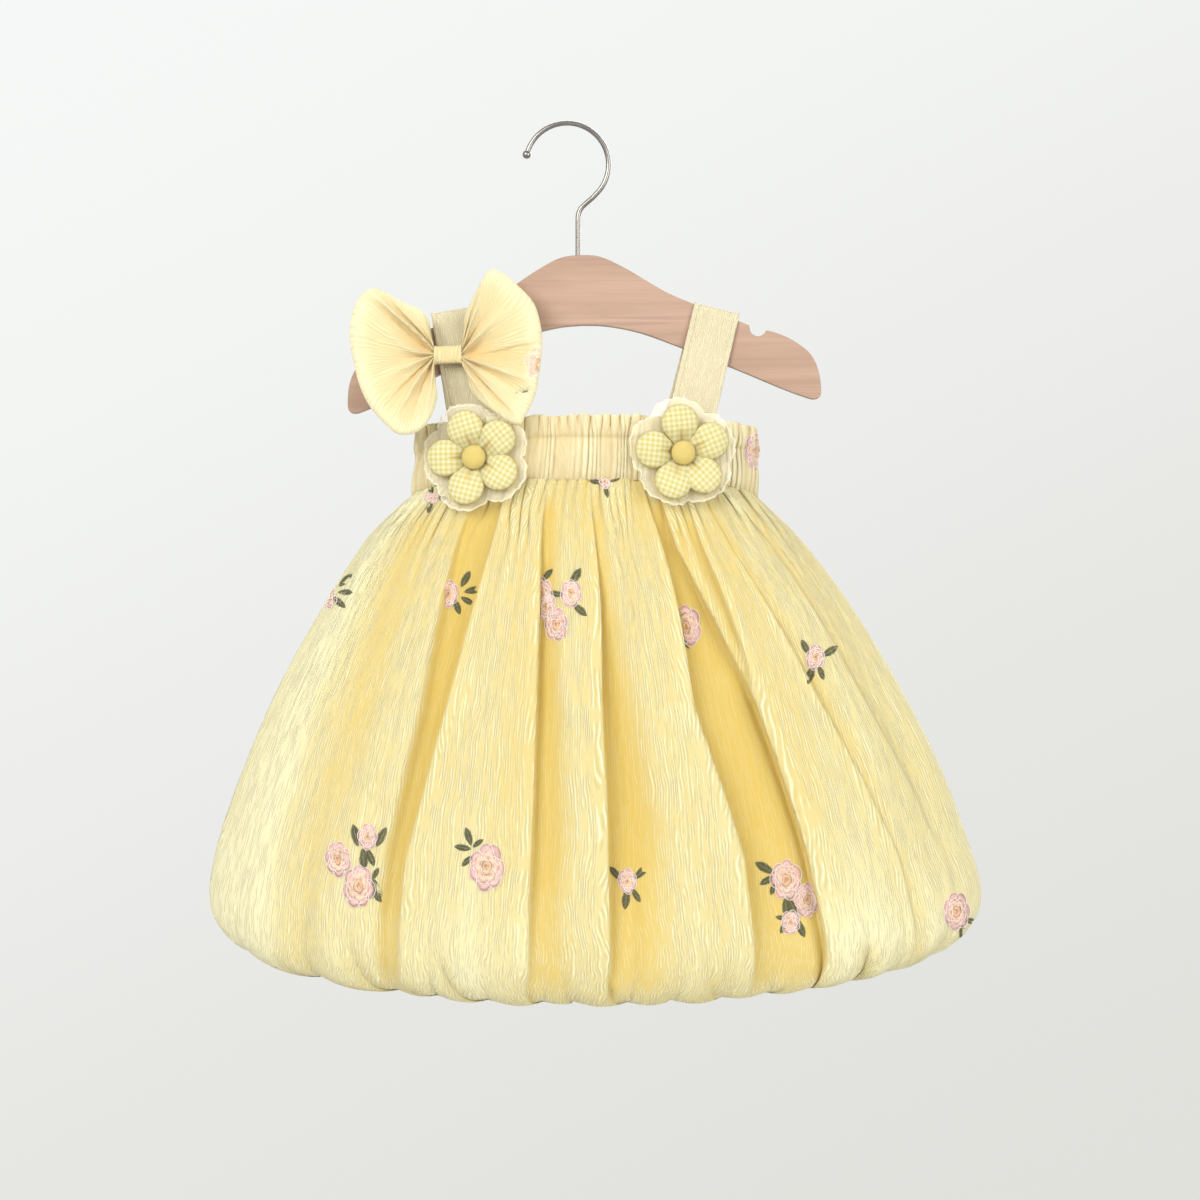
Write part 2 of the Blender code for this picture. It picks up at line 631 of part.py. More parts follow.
def build_petal(flower, number, angle, collection):
    """One stuffed petal: a flat-based pillow that narrows to the flower's middle."""
    bpy.ops.mesh.primitive_uv_sphere_add(segments=10, ring_count=6, radius=1.0)
    obj = adopt(bpy.context.object, "%s_petal_%d" % (flower.name, number), "gingham", collection)
    turn = math.radians(angle)
    for vertex in obj.data.vertices:
        out, side, up = vertex.co.z, vertex.co.x, vertex.co.y
        narrow = PETAL_NARROW + (1.0 - PETAL_NARROW) * ease((out + 1.0) / 1.3)
        reach = (PETAL_FROM + PETAL_TO) / 2.0 + out * (PETAL_TO - PETAL_FROM) / 2.0
        width = side * PETAL_WIDTH / 2.0 * narrow
        height = PETAL_SEAT + PETAL_HEIGHT / 2.0 * narrow * (1.0 + up)
        along = reach * math.cos(turn) - width * math.sin(turn)
        upward = reach * math.sin(turn) + width * math.cos(turn)
        vertex.co = flower_point(flower, along, upward, height) * MM
    obj.data.shade_smooth()


def build_button(flower, collection):
    """The covered button with its shank, turned about its own axis."""
    mesh = bpy.data.meshes.new(flower.name + "_button")
    mesh.from_pydata([(turn.radius * MM, 0.0, turn.height * MM) for turn in BUTTON_PROFILE],
                     [(i, i + 1) for i in range(len(BUTTON_PROFILE) - 1)], [])
    obj = bpy.data.objects.new(flower.name + "_button", mesh)
    bpy.context.scene.collection.objects.link(obj)
    adopt(obj, flower.name + "_button", "button_fabric", collection)
    turned = obj.modifiers.new("Turned", "SCREW")
    turned.steps = BUTTON_STEPS
    turned.render_steps = BUTTON_STEPS
    turned.use_merge_vertices = True
    turned.merge_threshold = 0.00001
    origin, along, out = flower_frame(flower)
    upward = Vector((0.0, 0.0, 1.0))
    basis = Matrix((along, upward, out)).transposed().to_4x4()
    obj.matrix_world = Matrix.Translation(origin * MM) @ basis


def build_flowers(collection):
    """Both flowers, each with its underlay, its petals and its button."""
    for flower in FLOWERS:
        build_underlay(flower, collection)
        for number, angle in enumerate(flower.petal_angles, 1):
            build_petal(flower, number, angle, collection)
        build_button(flower, collection)


def bow_place(reaches, side):
    """Where the points of one bow loop go; side is -1 for the left loop and 1 for the right."""
    angles = [reach.angle for reach in reaches]
    first, last = angles[0], angles[-1]
    lean = math.tan(math.radians(BOW_LEAN))

    def place(column, row):
        loop = BOW_LOOP[row]
        share = column / BOW_COLUMNS
        angle = first + (last - first) * share
        if angles[0] < angles[-1]:
            reach = between(angle, angles, [r.mm for r in reaches])
        else:
            reach = between(-angle, [-a for a in angles], [r.mm for r in reaches])
        turn = math.radians(angle)
        start = Vector((side * BOW_CLEAR_OF_KNOT, 0.0, BOW_PINCH * (0.5 - share)))
        end = Vector((reach * math.cos(turn), 0.0, reach * math.sin(turn)))
        point = start + (end - start) * loop.out
        flatter = BOW_END_DEPTH + (1.0 - BOW_END_DEPTH) * math.sin(math.pi * share)
        pleat = math.cos(2.0 * math.pi * BOW_PLEATS * share) * loop.pleat * BOW_PLEAT_HEIGHT
        pleat *= min(1.0, reach / BOW_FULL_REACH) * math.sin(math.pi * share)
        sweep = BOW_SWEEP * loop.out * reach / BOW_FULL_REACH
        depth = loop.depth * BOW_HALF_DEPTH * (1.0 if loop.out == 0.0 else flatter)
        x = KNOT_X + side * (KNOT_WIDTH / 2.0) + point.x
        y = KNOT_Y - sweep - depth + pleat + lean * point.z
        return x, y, KNOT_Z + point.z

    return place


def build_bow(collection):
    """Two pleated loops and the band round their middle."""
    for name, reaches, side in (("bow_loop_left", LEFT_REACH, -1), ("bow_loop_right", RIGHT_REACH, 1)):
        place = bow_place(reaches, side)

        def turned(column, row, place=place, side=side):
            return place(BOW_COLUMNS - column if side > 0 else column, row)

        rows = len(BOW_LOOP) - 1
        cloth_wall(name, "chiffon", BOW_COLUMNS, rows, turned, BOW_WALL, collection)

    bpy.ops.mesh.primitive_cube_add(size=1.0)
    knot = adopt(bpy.context.object, "bow_knot", "chiffon", collection)
    for vertex in knot.data.vertices:
        size = Vector((KNOT_WIDTH, KNOT_DEEP, KNOT_TALL))
        vertex.co = Vector([vertex.co[i] * size[i] * MM for i in range(3)])
    soft = knot.modifiers.new("Soft edges", "BEVEL")
    soft.width = KNOT_EDGE * MM
    soft.segments = 2
    knot.location = Vector((KNOT_X, KNOT_Y, KNOT_Z)) * MM
    knot.rotation_euler = (math.radians(BOW_LEAN), 0.0, 0.0)


def main():
    """Build the dress and its hanger."""
    for obj in list(bpy.data.objects):
        bpy.data.objects.remove(obj)
    collection = bpy.data.collections.new(PART_NAME)
    cutters = bpy.data.collections.new("cutters")
    bpy.context.scene.collection.children.link(collection)
    bpy.context.scene.collection.children.link(cutters)
    build_panels(collection)
    build_straps(collection)
    build_flowers(collection)
    build_bow(collection)
    build_board(collection, cutters)
    build_hook(collection, cutters)


main()
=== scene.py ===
"""The looks of a toddler's bubble-hem sundress on its wooden hanger.

Each cloth is a thin shell on the form of the solid that it replaces, with its gathers, folds and
crinkle. Sizes are in millimetres and become metres where points are made. X runs to the viewer's
right, -Y out of the front of the dress and Z up, and the origin is the inside top of the hook.
"""
import math
from collections import namedtuple

import bpy
import numpy as np
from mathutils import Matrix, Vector
from mathutils.bvhtree import BVHTree


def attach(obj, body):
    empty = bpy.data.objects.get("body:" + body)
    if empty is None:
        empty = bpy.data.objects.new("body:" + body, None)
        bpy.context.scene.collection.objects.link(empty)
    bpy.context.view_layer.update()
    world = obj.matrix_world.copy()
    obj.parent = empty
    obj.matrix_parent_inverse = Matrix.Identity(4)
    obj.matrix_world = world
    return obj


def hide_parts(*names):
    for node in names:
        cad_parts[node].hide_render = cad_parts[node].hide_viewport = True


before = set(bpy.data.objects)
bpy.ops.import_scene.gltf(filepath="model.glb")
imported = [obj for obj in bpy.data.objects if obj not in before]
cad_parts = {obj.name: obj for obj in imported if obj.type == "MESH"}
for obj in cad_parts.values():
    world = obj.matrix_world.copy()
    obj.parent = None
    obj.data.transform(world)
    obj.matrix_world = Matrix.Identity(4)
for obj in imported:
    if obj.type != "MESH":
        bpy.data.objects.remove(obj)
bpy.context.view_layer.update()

MM = 0.001
FRONT = -1
BACK = 1
BODY = "root"

# Camera
CAMERA_X = 21.0
CAMERA_Z = -302.0
CAMERA_AWAY = 2500.0
CAMERA_LENS = 117.8

# Cloth thickness
CHIFFON = 0.45
VOILE = 0.5
COTTON = 1.1
ORGANZA = 0.3
WELD_REACH = 0.000002

# Skirt, one row for each ring from the waist seam down, round the rolled hem and up inside.
# Heights are at the side seam and at the middle; folds and puffs are shares of their full depth
Section = namedtuple("Section", "side_z mid_z centre half front back folds puffs", defaults=(0.0, 0.0))
SKIRT = [
    Section(-236.4, -224.9, 11.0, 109.5, 22.0, 19.0, 0.00, 0.0),
    Section(-244.0, -236.0, 10.2, 118.5, 26.5, 23.0, 0.20, 0.0),
    Section(-263.7, -263.0, 10.5, 138.5, 37.0, 31.0, 0.55, 0.0),
    Section(-301.9, -306.0, 12.8, 165.6, 51.0, 39.0, 0.90, 0.0),
    Section(-352.9, -364.0, 14.0, 195.6, 62.0, 46.0, 1.00, 0.0),
    Section(-403.9, -424.0, 15.9, 219.8, 69.0, 52.0, 1.00, 0.1),
    Section(-450.0, -480.0, 16.4, 236.5, 74.0, 56.0, 0.90, 0.4),
    Section(-488.0, -525.0, 18.0, 245.5, 75.0, 57.0, 0.60, 1.0),
    Section(-504.0, -547.0, 17.6, 241.5, 69.0, 52.0, 0.35, 1.0),
    Section(-511.0, -555.0, 16.8, 228.0, 58.0, 43.0, 0.15, 0.8),
    Section(-505.0, -548.0, 16.2, 215.0, 49.0, 36.0, 0.05, 0.4),
    Section(-493.0, -535.0, 15.8, 206.0, 44.0, 32.0, 0.00, 0.0),
]
LINING = [
    Section(-238.5, -226.5, 11.0, 105.4, 18.4, 15.4),
    Section(-285.0, -285.0, 12.0, 131.0, 19.2, 16.8),
    Section(-360.0, -370.0, 13.5, 162.0, 27.0, 22.0),
    Section(-430.0, -455.0, 15.0, 186.0, 35.5, 27.0),
    Section(-492.6, -534.6, 15.8, 205.8, 43.8, 31.8),
]
BAND = [
    Section(-194.5, -185.4, 12.3, 109.0, 24.2, 21.2),
    Section(-205.0, -194.0, 12.3, 110.0, 23.8, 20.8),
    Section(-213.0, -201.3, 12.3, 109.0, 22.2, 19.2),
    Section(-225.0, -213.0, 11.8, 110.5, 23.6, 20.6),
    Section(-237.4, -226.0, 11.0, 110.3, 23.0, 20.0),
]
# The lines of stitches across the band, counted in its rows
BAND_TOP_STITCH = 1.75
BAND_LOW_STITCH = 3.85
SKIRT_GRID = {FRONT: (420, 110), BACK: (300, 90)}
BAND_GRID = (480, 24)
LINING_GRID = (90, 40)
# Flat layouts of cloth that their patterns are laid on, across and down
SKIRT_CLOTH = (620.0, 400.0)
LINING_CLOTH = (420.0, 310.0)
BAND_CLOTH = (420.0, 40.0)
# Half of the skirt as its drape and its crinkle are spread over it
DRAPED_HALF = 260.0
SKIRT_GATHERS = 36
GATHER_HEIGHT = 1.9
HEADING_GATHERS = 32
CASING_GATHERS = 68

# Troughs of the skirt: their edges as shares of the half-width at three heights, their depth, how
# fast each edge falls, how far the cloth beside each edge rolls over the trough, and how golden the
# cloth is in it, where it lies on the lining, with the trough's painted shade
Fold = namedtuple("Fold", "high_l high_r mid_l mid_r low_l low_r depth fall_l fall_r lap_l lap_r gold")
FOLD_HEIGHTS = (-270.0, -366.0, -461.0)
FOLDS = {
    FRONT: [
        Fold(-0.92, -0.66, -0.86, -0.60, -0.86, -0.64, 4.5, 0.17, 0.18, 0.0, 0.0, 0.60),
        Fold(-0.58, -0.40, -0.54, -0.435, -0.565, -0.485, 7.5, 0.034, 0.026, 0.5, 2.0, 0.90),
        Fold(-0.205, -0.10, -0.185, -0.05, -0.18, -0.03, 8.0, 0.022, 0.11, 3.5, 0.0, 0.9),
        Fold(0.035, 0.13, 0.020, 0.19, 0.025, 0.25, 11.0, 0.022, 0.17, 4.0, 0.0, 1.0),
        Fold(0.330, 0.43, 0.310, 0.560, 0.390, 0.605, 11.0, 0.024, 0.030, 3.5, 3.5, 1.0),
        Fold(0.47, 0.54, 0.50, 0.56, 0.55, 0.60, 4.0, 0.05, 0.02, 0.0, 2.5, 0.45),
        Fold(0.64, 0.71, 0.72, 0.80, 0.80, 0.86, 5.0, 0.022, 0.09, 2.5, 0.0, 0.50),
        Fold(0.82, 0.89, 0.86, 0.93, 0.92, 0.97, 3.5, 0.03, 0.08, 1.5, 0.0, 0.40),
    ],
    BACK: [
        Fold(-0.86, -0.72, -0.84, -0.70, -0.82, -0.70, 7.0, 0.06, 0.07, 0.0, 0.0, 0.55),
        Fold(-0.60, -0.48, -0.56, -0.42, -0.54, -0.40, 9.0, 0.026, 0.08, 5.0, 0.0, 1.0),
        Fold(-0.30, -0.20, -0.28, -0.13, -0.27, -0.11, 8.0, 0.05, 0.026, 0.0, 5.0, 0.95),
        Fold(-0.06, 0.08, -0.07, 0.11, -0.06, 0.10, 10.0, 0.07, 0.028, 0.0, 6.0, 1.0),
        Fold(0.26, 0.35, 0.25, 0.38, 0.25, 0.37, 8.0, 0.028, 0.07, 5.0, 0.0, 0.95),
        Fold(0.50, 0.62, 0.50, 0.65, 0.52, 0.67, 10.0, 0.06, 0.028, 0.0, 6.0, 1.0),
        Fold(0.76, 0.87, 0.76, 0.86, 0.78, 0.86, 6.0, 0.05, 0.05, 0.0, 0.0, 0.55),
    ],
}
# Creases where the rolled hem is caught up: their place as a share of the half-width, how far they
# climb in millimetres, how far they lean on the way up, how deep they are and how far the cloth
# beside them laps over, to the right where this is positive
Tuck = namedtuple("Tuck", "place climb lean deep lap")
TUCKS = {
    FRONT: [
        Tuck(-0.92, 26.0, -0.06, 3.5, -2.5), Tuck(-0.74, 22.0, -0.08, 3.0, -2.5),
        Tuck(-0.53, 64.0, -0.11, 4.5, -3.5), Tuck(-0.42, 30.0, -0.10, 3.0, -3.0),
        Tuck(-0.28, 52.0, -0.13, 5.0, -4.5), Tuck(-0.13, 36.0, -0.07, 4.0, -3.5),
        Tuck(-0.04, 66.0, -0.05, 4.5, -3.5), Tuck(0.10, 48.0, -0.10, 4.5, -3.5),
        Tuck(0.22, 24.0, -0.04, 2.5, -2.0), Tuck(0.36, 46.0, -0.09, 4.5, -3.5),
        Tuck(0.47, 28.0, 0.05, 3.0, 2.5), Tuck(0.585, 74.0, -0.03, 6.0, 4.5),
        Tuck(0.69, 40.0, -0.015, 9.0, 5.0), Tuck(0.79, 24.0, 0.08, 3.0, 2.5),
        Tuck(0.90, 30.0, 0.07, 3.5, 2.5),
    ],
    BACK: [
        Tuck(-0.90, 28.0, -0.07, 3.5, -2.5), Tuck(-0.72, 52.0, -0.10, 5.0, -3.5),
        Tuck(-0.56, 30.0, -0.06, 3.5, -3.0), Tuck(-0.43, 70.0, -0.09, 6.0, -4.5),
        Tuck(-0.26, 34.0, -0.05, 3.0, -3.0), Tuck(-0.12, 58.0, 0.09, 5.0, 4.0),
        Tuck(0.06, 30.0, 0.05, 3.5, 3.0), Tuck(0.19, 62.0, 0.10, 5.5, 4.5),
        Tuck(0.37, 36.0, 0.06, 3.5, 3.0), Tuck(0.53, 56.0, 0.11, 5.5, 4.0),
        Tuck(0.69, 28.0, 0.05, 3.5, 2.5), Tuck(0.85, 42.0, 0.08, 4.0, 3.0),
    ],
}
TUCK_STEEP = 0.009
TUCK_SOFT = 0.040
PUFF_BULGE = 2.2
PUFF_LIFT = 4.4
DRAPE_BROAD = 2.6
DRAPE_NARROW = 1.0
CRINKLE_FINE = 0.16
CRINKLE_COARSE = 0.24
# The painted fold value of cloth in plain light: more is golden with painted shade, less is paler with
# painted light shining through
PLAIN = 0.35


def ease(share):
    """A smooth rise from 0 to 1."""
    share = np.clip(share, 0.0, 1.0)
    return share * share * (3.0 - 2.0 * share)


def hump(share):
    """A smooth hill from 0 up to 1 and back, over shares from 0 to 1."""
    return np.sin(math.pi * np.clip(share, 0.0, 1.0)) ** 2


def curve_through(values, places):
    """A smooth curve through evenly spaced values, read at fractional places."""
    values = np.asarray(values, dtype=float)
    padded = np.concatenate(([2.0 * values[0] - values[1]], values, [2.0 * values[-1] - values[-2]]))
    start = np.clip(np.floor(places).astype(int), 0, len(values) - 2)
    t = places - start
    a, b, c, d = (padded[start + i] for i in range(4))
    return b + 0.5 * t * (c - a + t * (2.0 * a - 5.0 * b + 4.0 * c - d + t * (3.0 * (b - c) + d - a)))


def soft_noise(x, y, seed):
    """Smooth noise from -1 to 1, one hill or hollow for each unit of x and y."""
    size = 512
    grid = np.random.RandomState(seed).uniform(-1.0, 1.0, (size, size))
    x, y = np.broadcast_arrays(x, y)
    column, row = np.floor(x).astype(int), np.floor(y).astype(int)
    fx, fy = ease(x - column), ease(y - row)

    def corner(i, j):
        return grid[(column + i) % size, (row + j) % size]

    low = corner(0, 0) * (1.0 - fx) + corner(1, 0) * fx
    high = corner(0, 1) * (1.0 - fx) + corner(1, 1) * fx
    return low * (1.0 - fy) + high * fy


def deselect():
    """Nothing selected, so that an operator acts only on what follows."""
    bpy.ops.object.select_all(action="DESELECT")


def activate(obj):
    """Only this object selected, and active."""
    deselect()
    obj.select_set(True)
    bpy.context.view_layer.objects.active = obj


def edit_all(obj, operator, **settings):
    """Run one edit-mode operator on the whole of an object."""
    activate(obj)
    bpy.ops.object.mode_set(mode="EDIT")
    bpy.ops.mesh.select_all(action="SELECT")
    operator(**settings)
    bpy.ops.object.mode_set(mode="OBJECT")


def link_new(name, data):
    """A new object for a mesh, a curve, a light or a camera, in the scene."""
    obj = bpy.data.objects.new(name, data)
    bpy.context.scene.collection.objects.link(obj)
    return obj


def points_of(obj):
    """The points of a mesh as it lies, one row each."""
    flat = np.empty(len(obj.data.vertices) * 3)
    obj.data.vertices.foreach_get("co", flat)
    return flat.reshape(-1, 3)


def grid_of(x, y, z):
    """A grid of points from grids, rows or columns of their coordinates."""
    return np.stack(np.broadcast_arrays(x, y, z), axis=2)


def put_points(obj, points):
    """Move the points of a mesh to places in millimetres."""
    obj.data.vertices.foreach_set("co", (points * MM).ravel())
    obj.data.update()


def reshape(obj, place):
    """Move each point of a primitive to where place(x, y, z) says, in millimetres."""
    put_points(obj, np.stack(np.broadcast_arrays(*place(*points_of(obj).T)), axis=1))


def paint(obj, name, values):
    """Keep a number for each point, which the material reads."""
    layer = obj.data.attributes.new(name, "FLOAT", "POINT")
    layer.data.foreach_set("value", np.asarray(values, dtype=float).ravel())


def lay_uv(obj, u, v):
    """Lay the cloth out flat, in millimetres of cloth."""
    corners = np.empty(len(obj.data.loops), dtype=int)
    obj.data.loops.foreach_get("vertex_index", corners)
    layer = obj.data.uv_layers[0] if obj.data.uv_layers else obj.data.uv_layers.new(name="Cloth")
    layer.data.foreach_set("uv", np.stack((u[corners], v[corners]), axis=1).ravel())


def apply_modifiers(obj):
    """Apply what is on an object, in order."""
    activate(obj)
    for modifier in list(obj.modifiers):
        bpy.ops.object.modifier_apply(modifier=modifier.name)


def weld(obj):
    """Close a seam whose two edges lie on each other."""
    edit_all(obj, bpy.ops.mesh.remove_doubles, threshold=WELD_REACH)


def thicken(obj, thickness):
    """Give a shell its thickness, inwards from its outer face."""
    wall = obj.modifiers.new("Thickness", "SOLIDIFY")
    wall.thickness = thickness * MM
    wall.offset = -1.0
    apply_modifiers(obj)
    obj.data.shade_smooth()


def dress(obj, name, material, slot, *nodes):
    """Name a piece, give it its finish and let it stand for the solids it replaces."""
    obj.name = name
    obj.data.name = name
    obj.data.materials.clear()
    obj.data.materials.append(material)
    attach(obj, BODY)
    if nodes:
        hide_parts(*nodes)
    return obj


def cloth_grid(columns, rows, points, width, length, marks):
    """A sheet through a grid of points, with its marks and its flat layout in millimetres."""
    deselect()
    bpy.ops.mesh.primitive_grid_add(x_subdivisions=columns, y_subdivisions=rows, size=2.0)
    obj = bpy.context.object
    x, y, _ = points_of(obj).T
    column = np.rint((x + 1.0) / 2.0 * columns).astype(int)
    row = np.rint((1.0 - y) / 2.0 * rows).astype(int)
    for name, values in marks.items():
        paint(obj, name, np.broadcast_to(values, points.shape[:2])[row, column])
    lay_uv(obj, column / columns * width, (1.0 - row / rows) * length)
    put_points(obj, points[row, column])
    return obj


# ---- Finishes ----

class Nodes:
    """A node tree with short ways to add nodes and to wire them up."""

    def __init__(self, tree):
        self.tree = tree

    def add(self, kind, settings=None, **inputs):
        """Add a node; inputs are numbers, colours or other nodes' sockets."""
        node = self.tree.nodes.new("ShaderNode" + kind)
        for key, value in (settings or {}).items():
            setattr(node, key, value)
        for key, value in inputs.items():
            numbered = key[0] == "i" and key[1:].isdigit()
            self.set(node.inputs[int(key[1:]) if numbered else key.replace("_", " ")], value)
        return node

    def set(self, socket, value):
        """Wire a socket to another, or give it a number or a colour."""
        if isinstance(value, bpy.types.NodeSocket):
            self.tree.links.new(value, socket)
        else:
            socket.default_value = value

    def maths(self, operation, first, second=0.0):
        """The result of one sum."""
        return self.add("Math", {"operation": operation}, i0=first, i1=second).outputs[0]

    def times(self, first, second):
        """The product of two values."""
        return self.maths("MULTIPLY", first, second)

    def mix(self, share, first, second):
        """A colour between two, by a share."""
        return self.add("Mix", {"data_type": "RGBA"}, i0=share, i6=first, i7=second).outputs[2]

    def ramp(self, value, low, high):
        """A value spread from low and high to 0 and 1."""
        return self.add("MapRange", {"interpolation_type": "SMOOTHSTEP"}, Value=value,
                        From_Min=low, From_Max=high).outputs[0]

    def noise(self, place, scale, detail, flat=False, **inputs):
        """Soft clouds over a place, or over a flat layout of cloth."""
        return self.add("TexNoise", {"noise_dimensions": "2D" if flat else "3D"}, Vector=place,
                        Scale=scale, Detail=detail, **inputs).outputs[0]

    def mark(self, name):
        """A number painted on the piece."""
        return self.add("Attribute", {"attribute_name": name}).outputs["Fac"]

    def cover(self, shader, tint, height, distance, strength):
        """Give a shader its colour and its relief, some millimetres deep; returns the bent normal."""
        normal = self.add("Bump", Height=height, Distance=distance * MM, Strength=strength).outputs[0]
        self.set(shader.inputs["Base Color"], tint)
        self.set(shader.inputs["Normal"], normal)
        return normal


def colour(red, green, blue):
    """A colour as a shader takes it."""
    return (red, green, blue, 1.0)


def group_nodes(name, inputs, outputs):
    """A node group with named sockets: its builder, its input node and its output node."""
    tree = bpy.data.node_groups.new(name, "ShaderNodeTree")
    for label, kind in inputs:
        tree.interface.new_socket(name=label, in_out="INPUT", socket_type="NodeSocket" + kind)
    for label in outputs:
        tree.interface.new_socket(name=label, in_out="OUTPUT", socket_type="NodeSocketFloat")
    return Nodes(tree), tree.nodes.new("NodeGroupInput"), tree.nodes.new("NodeGroupOutput")


def crinkle_group():
    """The fine lengthwise wrinkles of crinkled cloth: their height, crests and hollows."""
    nodes, source, result = group_nodes(
        "crinkle", [("Cloth", "Vector"), ("Pitch", "Float"), ("Length", "Float")],
        ["Height", "Crest", "Hollow"])
    parts = nodes.add("SeparateXYZ", Vector=source.outputs["Cloth"])
    across = nodes.maths("DIVIDE", parts.outputs[0], source.outputs["Pitch"])
    along = nodes.maths("DIVIDE", parts.outputs[1], source.outputs["Length"])

    def cloud(wide, long):
        place = nodes.add("CombineXYZ", X=nodes.maths("DIVIDE", across, wide),
                          Y=nodes.maths("DIVIDE", along, long)).outputs[0]
        return nodes.noise(place, 1.0, 1.0, flat=True)

    # lines of one wrinkle each, pushed sideways by slow clouds and dying away here and there
    pushed = nodes.times(cloud(3.5, 0.8), 1.7)
    swayed = nodes.times(cloud(24.0, 3.0), 5.0)
    phase = nodes.maths("ADD", across, nodes.maths("ADD", pushed, swayed))
    wave = nodes.maths("SINE", nodes.times(phase, 2.0 * math.pi))
    strong = nodes.ramp(cloud(1.5, 0.7), 0.34, 0.60)
    line = nodes.times(wave, nodes.maths("ADD", 0.25, nodes.times(strong, 0.75)))
    nodes.set(result.inputs["Height"], nodes.times(line, 0.5))
    nodes.set(result.inputs["Crest"], nodes.ramp(line, 0.25, 0.95))
    nodes.set(result.inputs["Hollow"], nodes.ramp(line, -0.35, -0.95))
    return nodes.tree


def weave_group():
    """A plain weave: the height of its threads."""
    nodes, source, result = group_nodes("weave", [("Cloth", "Vector"), ("Thread", "Float")], ["Height"])
    parts = nodes.add("SeparateXYZ", Vector=source.outputs["Cloth"])
    turn = nodes.maths("DIVIDE", math.pi, source.outputs["Thread"])
    waves = []
    for axis in (0, 1):
        wave = nodes.maths("SINE", nodes.times(parts.outputs[axis], turn))
        waves.append(nodes.maths("ABSOLUTE", wave))
    nodes.set(result.inputs["Height"], nodes.maths("MAXIMUM", waves[0], waves[1]))
    return nodes.tree


def start_material(name, roughness, metallic=0.0, sheen=0.0):
    """A material with its Principled shader's constants set."""
    made = bpy.data.materials.new(name)
    made.use_nodes = True
    shader = made.node_tree.nodes["Principled BSDF"]
    shader.inputs["Roughness"].default_value = roughness
    shader.inputs["Metallic"].default_value = metallic
    shader.inputs["Sheen Weight"].default_value = sheen
    return made, Nodes(made.node_tree), shader


def let_light_through(nodes, shader, share, tint, normal):
    """Mix in the light that thin cloth lets through from behind."""
    glow = nodes.add("BsdfTranslucent", Color=tint, Normal=normal).outputs[0]
    mixed = nodes.add("MixShader", i0=share, i1=shader.outputs[0], i2=glow).outputs[0]
    nodes.set(nodes.tree.nodes["Material Output"].inputs["Surface"], mixed)


# Each crinkled cloth: its colours where painted light shines through it, on its folds, and down in its
# troughs, golden with painted shade; the light it lets through, its wrinkles' pitch, length and depth,
# and how strong their lines are
Crinkled = namedtuple("Crinkled", "name airy pale deep through pitch length relief lines")
CRINKLED = {
    "skirt": Crinkled("skirt_chiffon", colour(0.90, 0.86, 0.56), colour(0.81, 0.73, 0.38),
                      colour(0.755, 0.565, 0.138), 0.26, 2.0, 18.0, 0.38, 0.95),
    "band": Crinkled("band_chiffon", colour(0.88, 0.83, 0.57), colour(0.79, 0.70, 0.43),
                     colour(0.74, 0.54, 0.22), 0.22, 1.5, 9.0, 0.20, 0.35),
    "bow": Crinkled("bow_chiffon", colour(0.92, 0.87, 0.59), colour(0.86, 0.755, 0.44),
                    colour(0.84, 0.61, 0.25), 0.30, 2.0, 20.0, 0.18, 0.50),
    "strap": Crinkled("strap_crinkle", colour(0.72, 0.66, 0.47), colour(0.66, 0.595, 0.41),
                      colour(0.54, 0.46, 0.28), 0.08, 1.3, 7.0, 0.26, 0.50),
}
# Painted highlight on the crinkle's crests and painted shade in its hollows
CREST_HIGHLIGHT = colour(0.96, 0.93, 0.66)
HOLLOW_SHADE = colour(0.66, 0.58, 0.28)


def crinkled_material(kind, crinkle, weave):
    """Crinkled cloth: pale, with painted light shining through at thin edges, painted highlights on its
    crests and painted shade in its hollows; golden with painted shade and smoother where it lies in a
    trough.
    """
    made, nodes, shader = start_material(kind.name, 0.85, sheen=0.25)
    cloth = nodes.add("UVMap").outputs[0]
    wrinkle = nodes.add("Group", {"node_tree": crinkle}, Cloth=cloth, Pitch=kind.pitch, Length=kind.length)
    woven = nodes.add("Group", {"node_tree": weave}, Cloth=cloth, Thread=0.4)
    patchy = nodes.noise(cloth, 0.03, 2.0, flat=True)
    patch = nodes.times(nodes.maths("SUBTRACT", patchy, 0.5), 0.20)
    # the fold mark is painted shade where it is high, and painted light shining through where it is low
    shade = nodes.maths("ADD", nodes.maths("SUBTRACT", nodes.mark("fold"), PLAIN), patch)
    crisp = nodes.maths("SUBTRACT", 1.0, nodes.times(nodes.ramp(shade, 0.2, 0.9), 0.75))
    tint = nodes.mix(nodes.ramp(shade, -0.35, 0.05), kind.airy, kind.pale)
    tint = nodes.mix(nodes.maths("MAXIMUM", shade, 0.0), tint, kind.deep)
    strong = nodes.times(crisp, kind.lines)
    # painted shade in the wrinkles' hollows, then a painted highlight on their crests
    wrinkle_shade = nodes.times(wrinkle.outputs["Hollow"], nodes.times(strong, 0.70))
    tint = nodes.mix(wrinkle_shade, tint, HOLLOW_SHADE)
    tint = nodes.mix(nodes.times(wrinkle.outputs["Crest"], strong), tint, CREST_HIGHLIGHT)
    height = nodes.maths("ADD", nodes.times(wrinkle.outputs["Height"], crisp),
                         nodes.times(woven.outputs[0], 0.10))
    normal = nodes.cover(shader, tint, height, kind.relief, 1.0)
    let_light_through(nodes, shader, kind.through, tint, normal)
    return made


def lining_material(weave):
    """Plain golden voile."""
    made, nodes, shader = start_material("lining_voile", 0.85, sheen=0.1)
    cloth = nodes.add("UVMap").outputs[0]
    woven = nodes.add("Group", {"node_tree": weave}, Cloth=cloth, Thread=0.5)
    cloudy = nodes.noise(cloth, 0.02, 3.0, flat=True)
    tint = nodes.mix(cloudy, colour(0.90, 0.66, 0.20), colour(0.94, 0.76, 0.32))
    normal = nodes.cover(shader, tint, woven.outputs[0], 0.08, 0.6)
    let_light_through(nodes, shader, 0.2, tint, normal)
    return made


# One white and one yellow stripe of the gingham
CHECK = 3.6


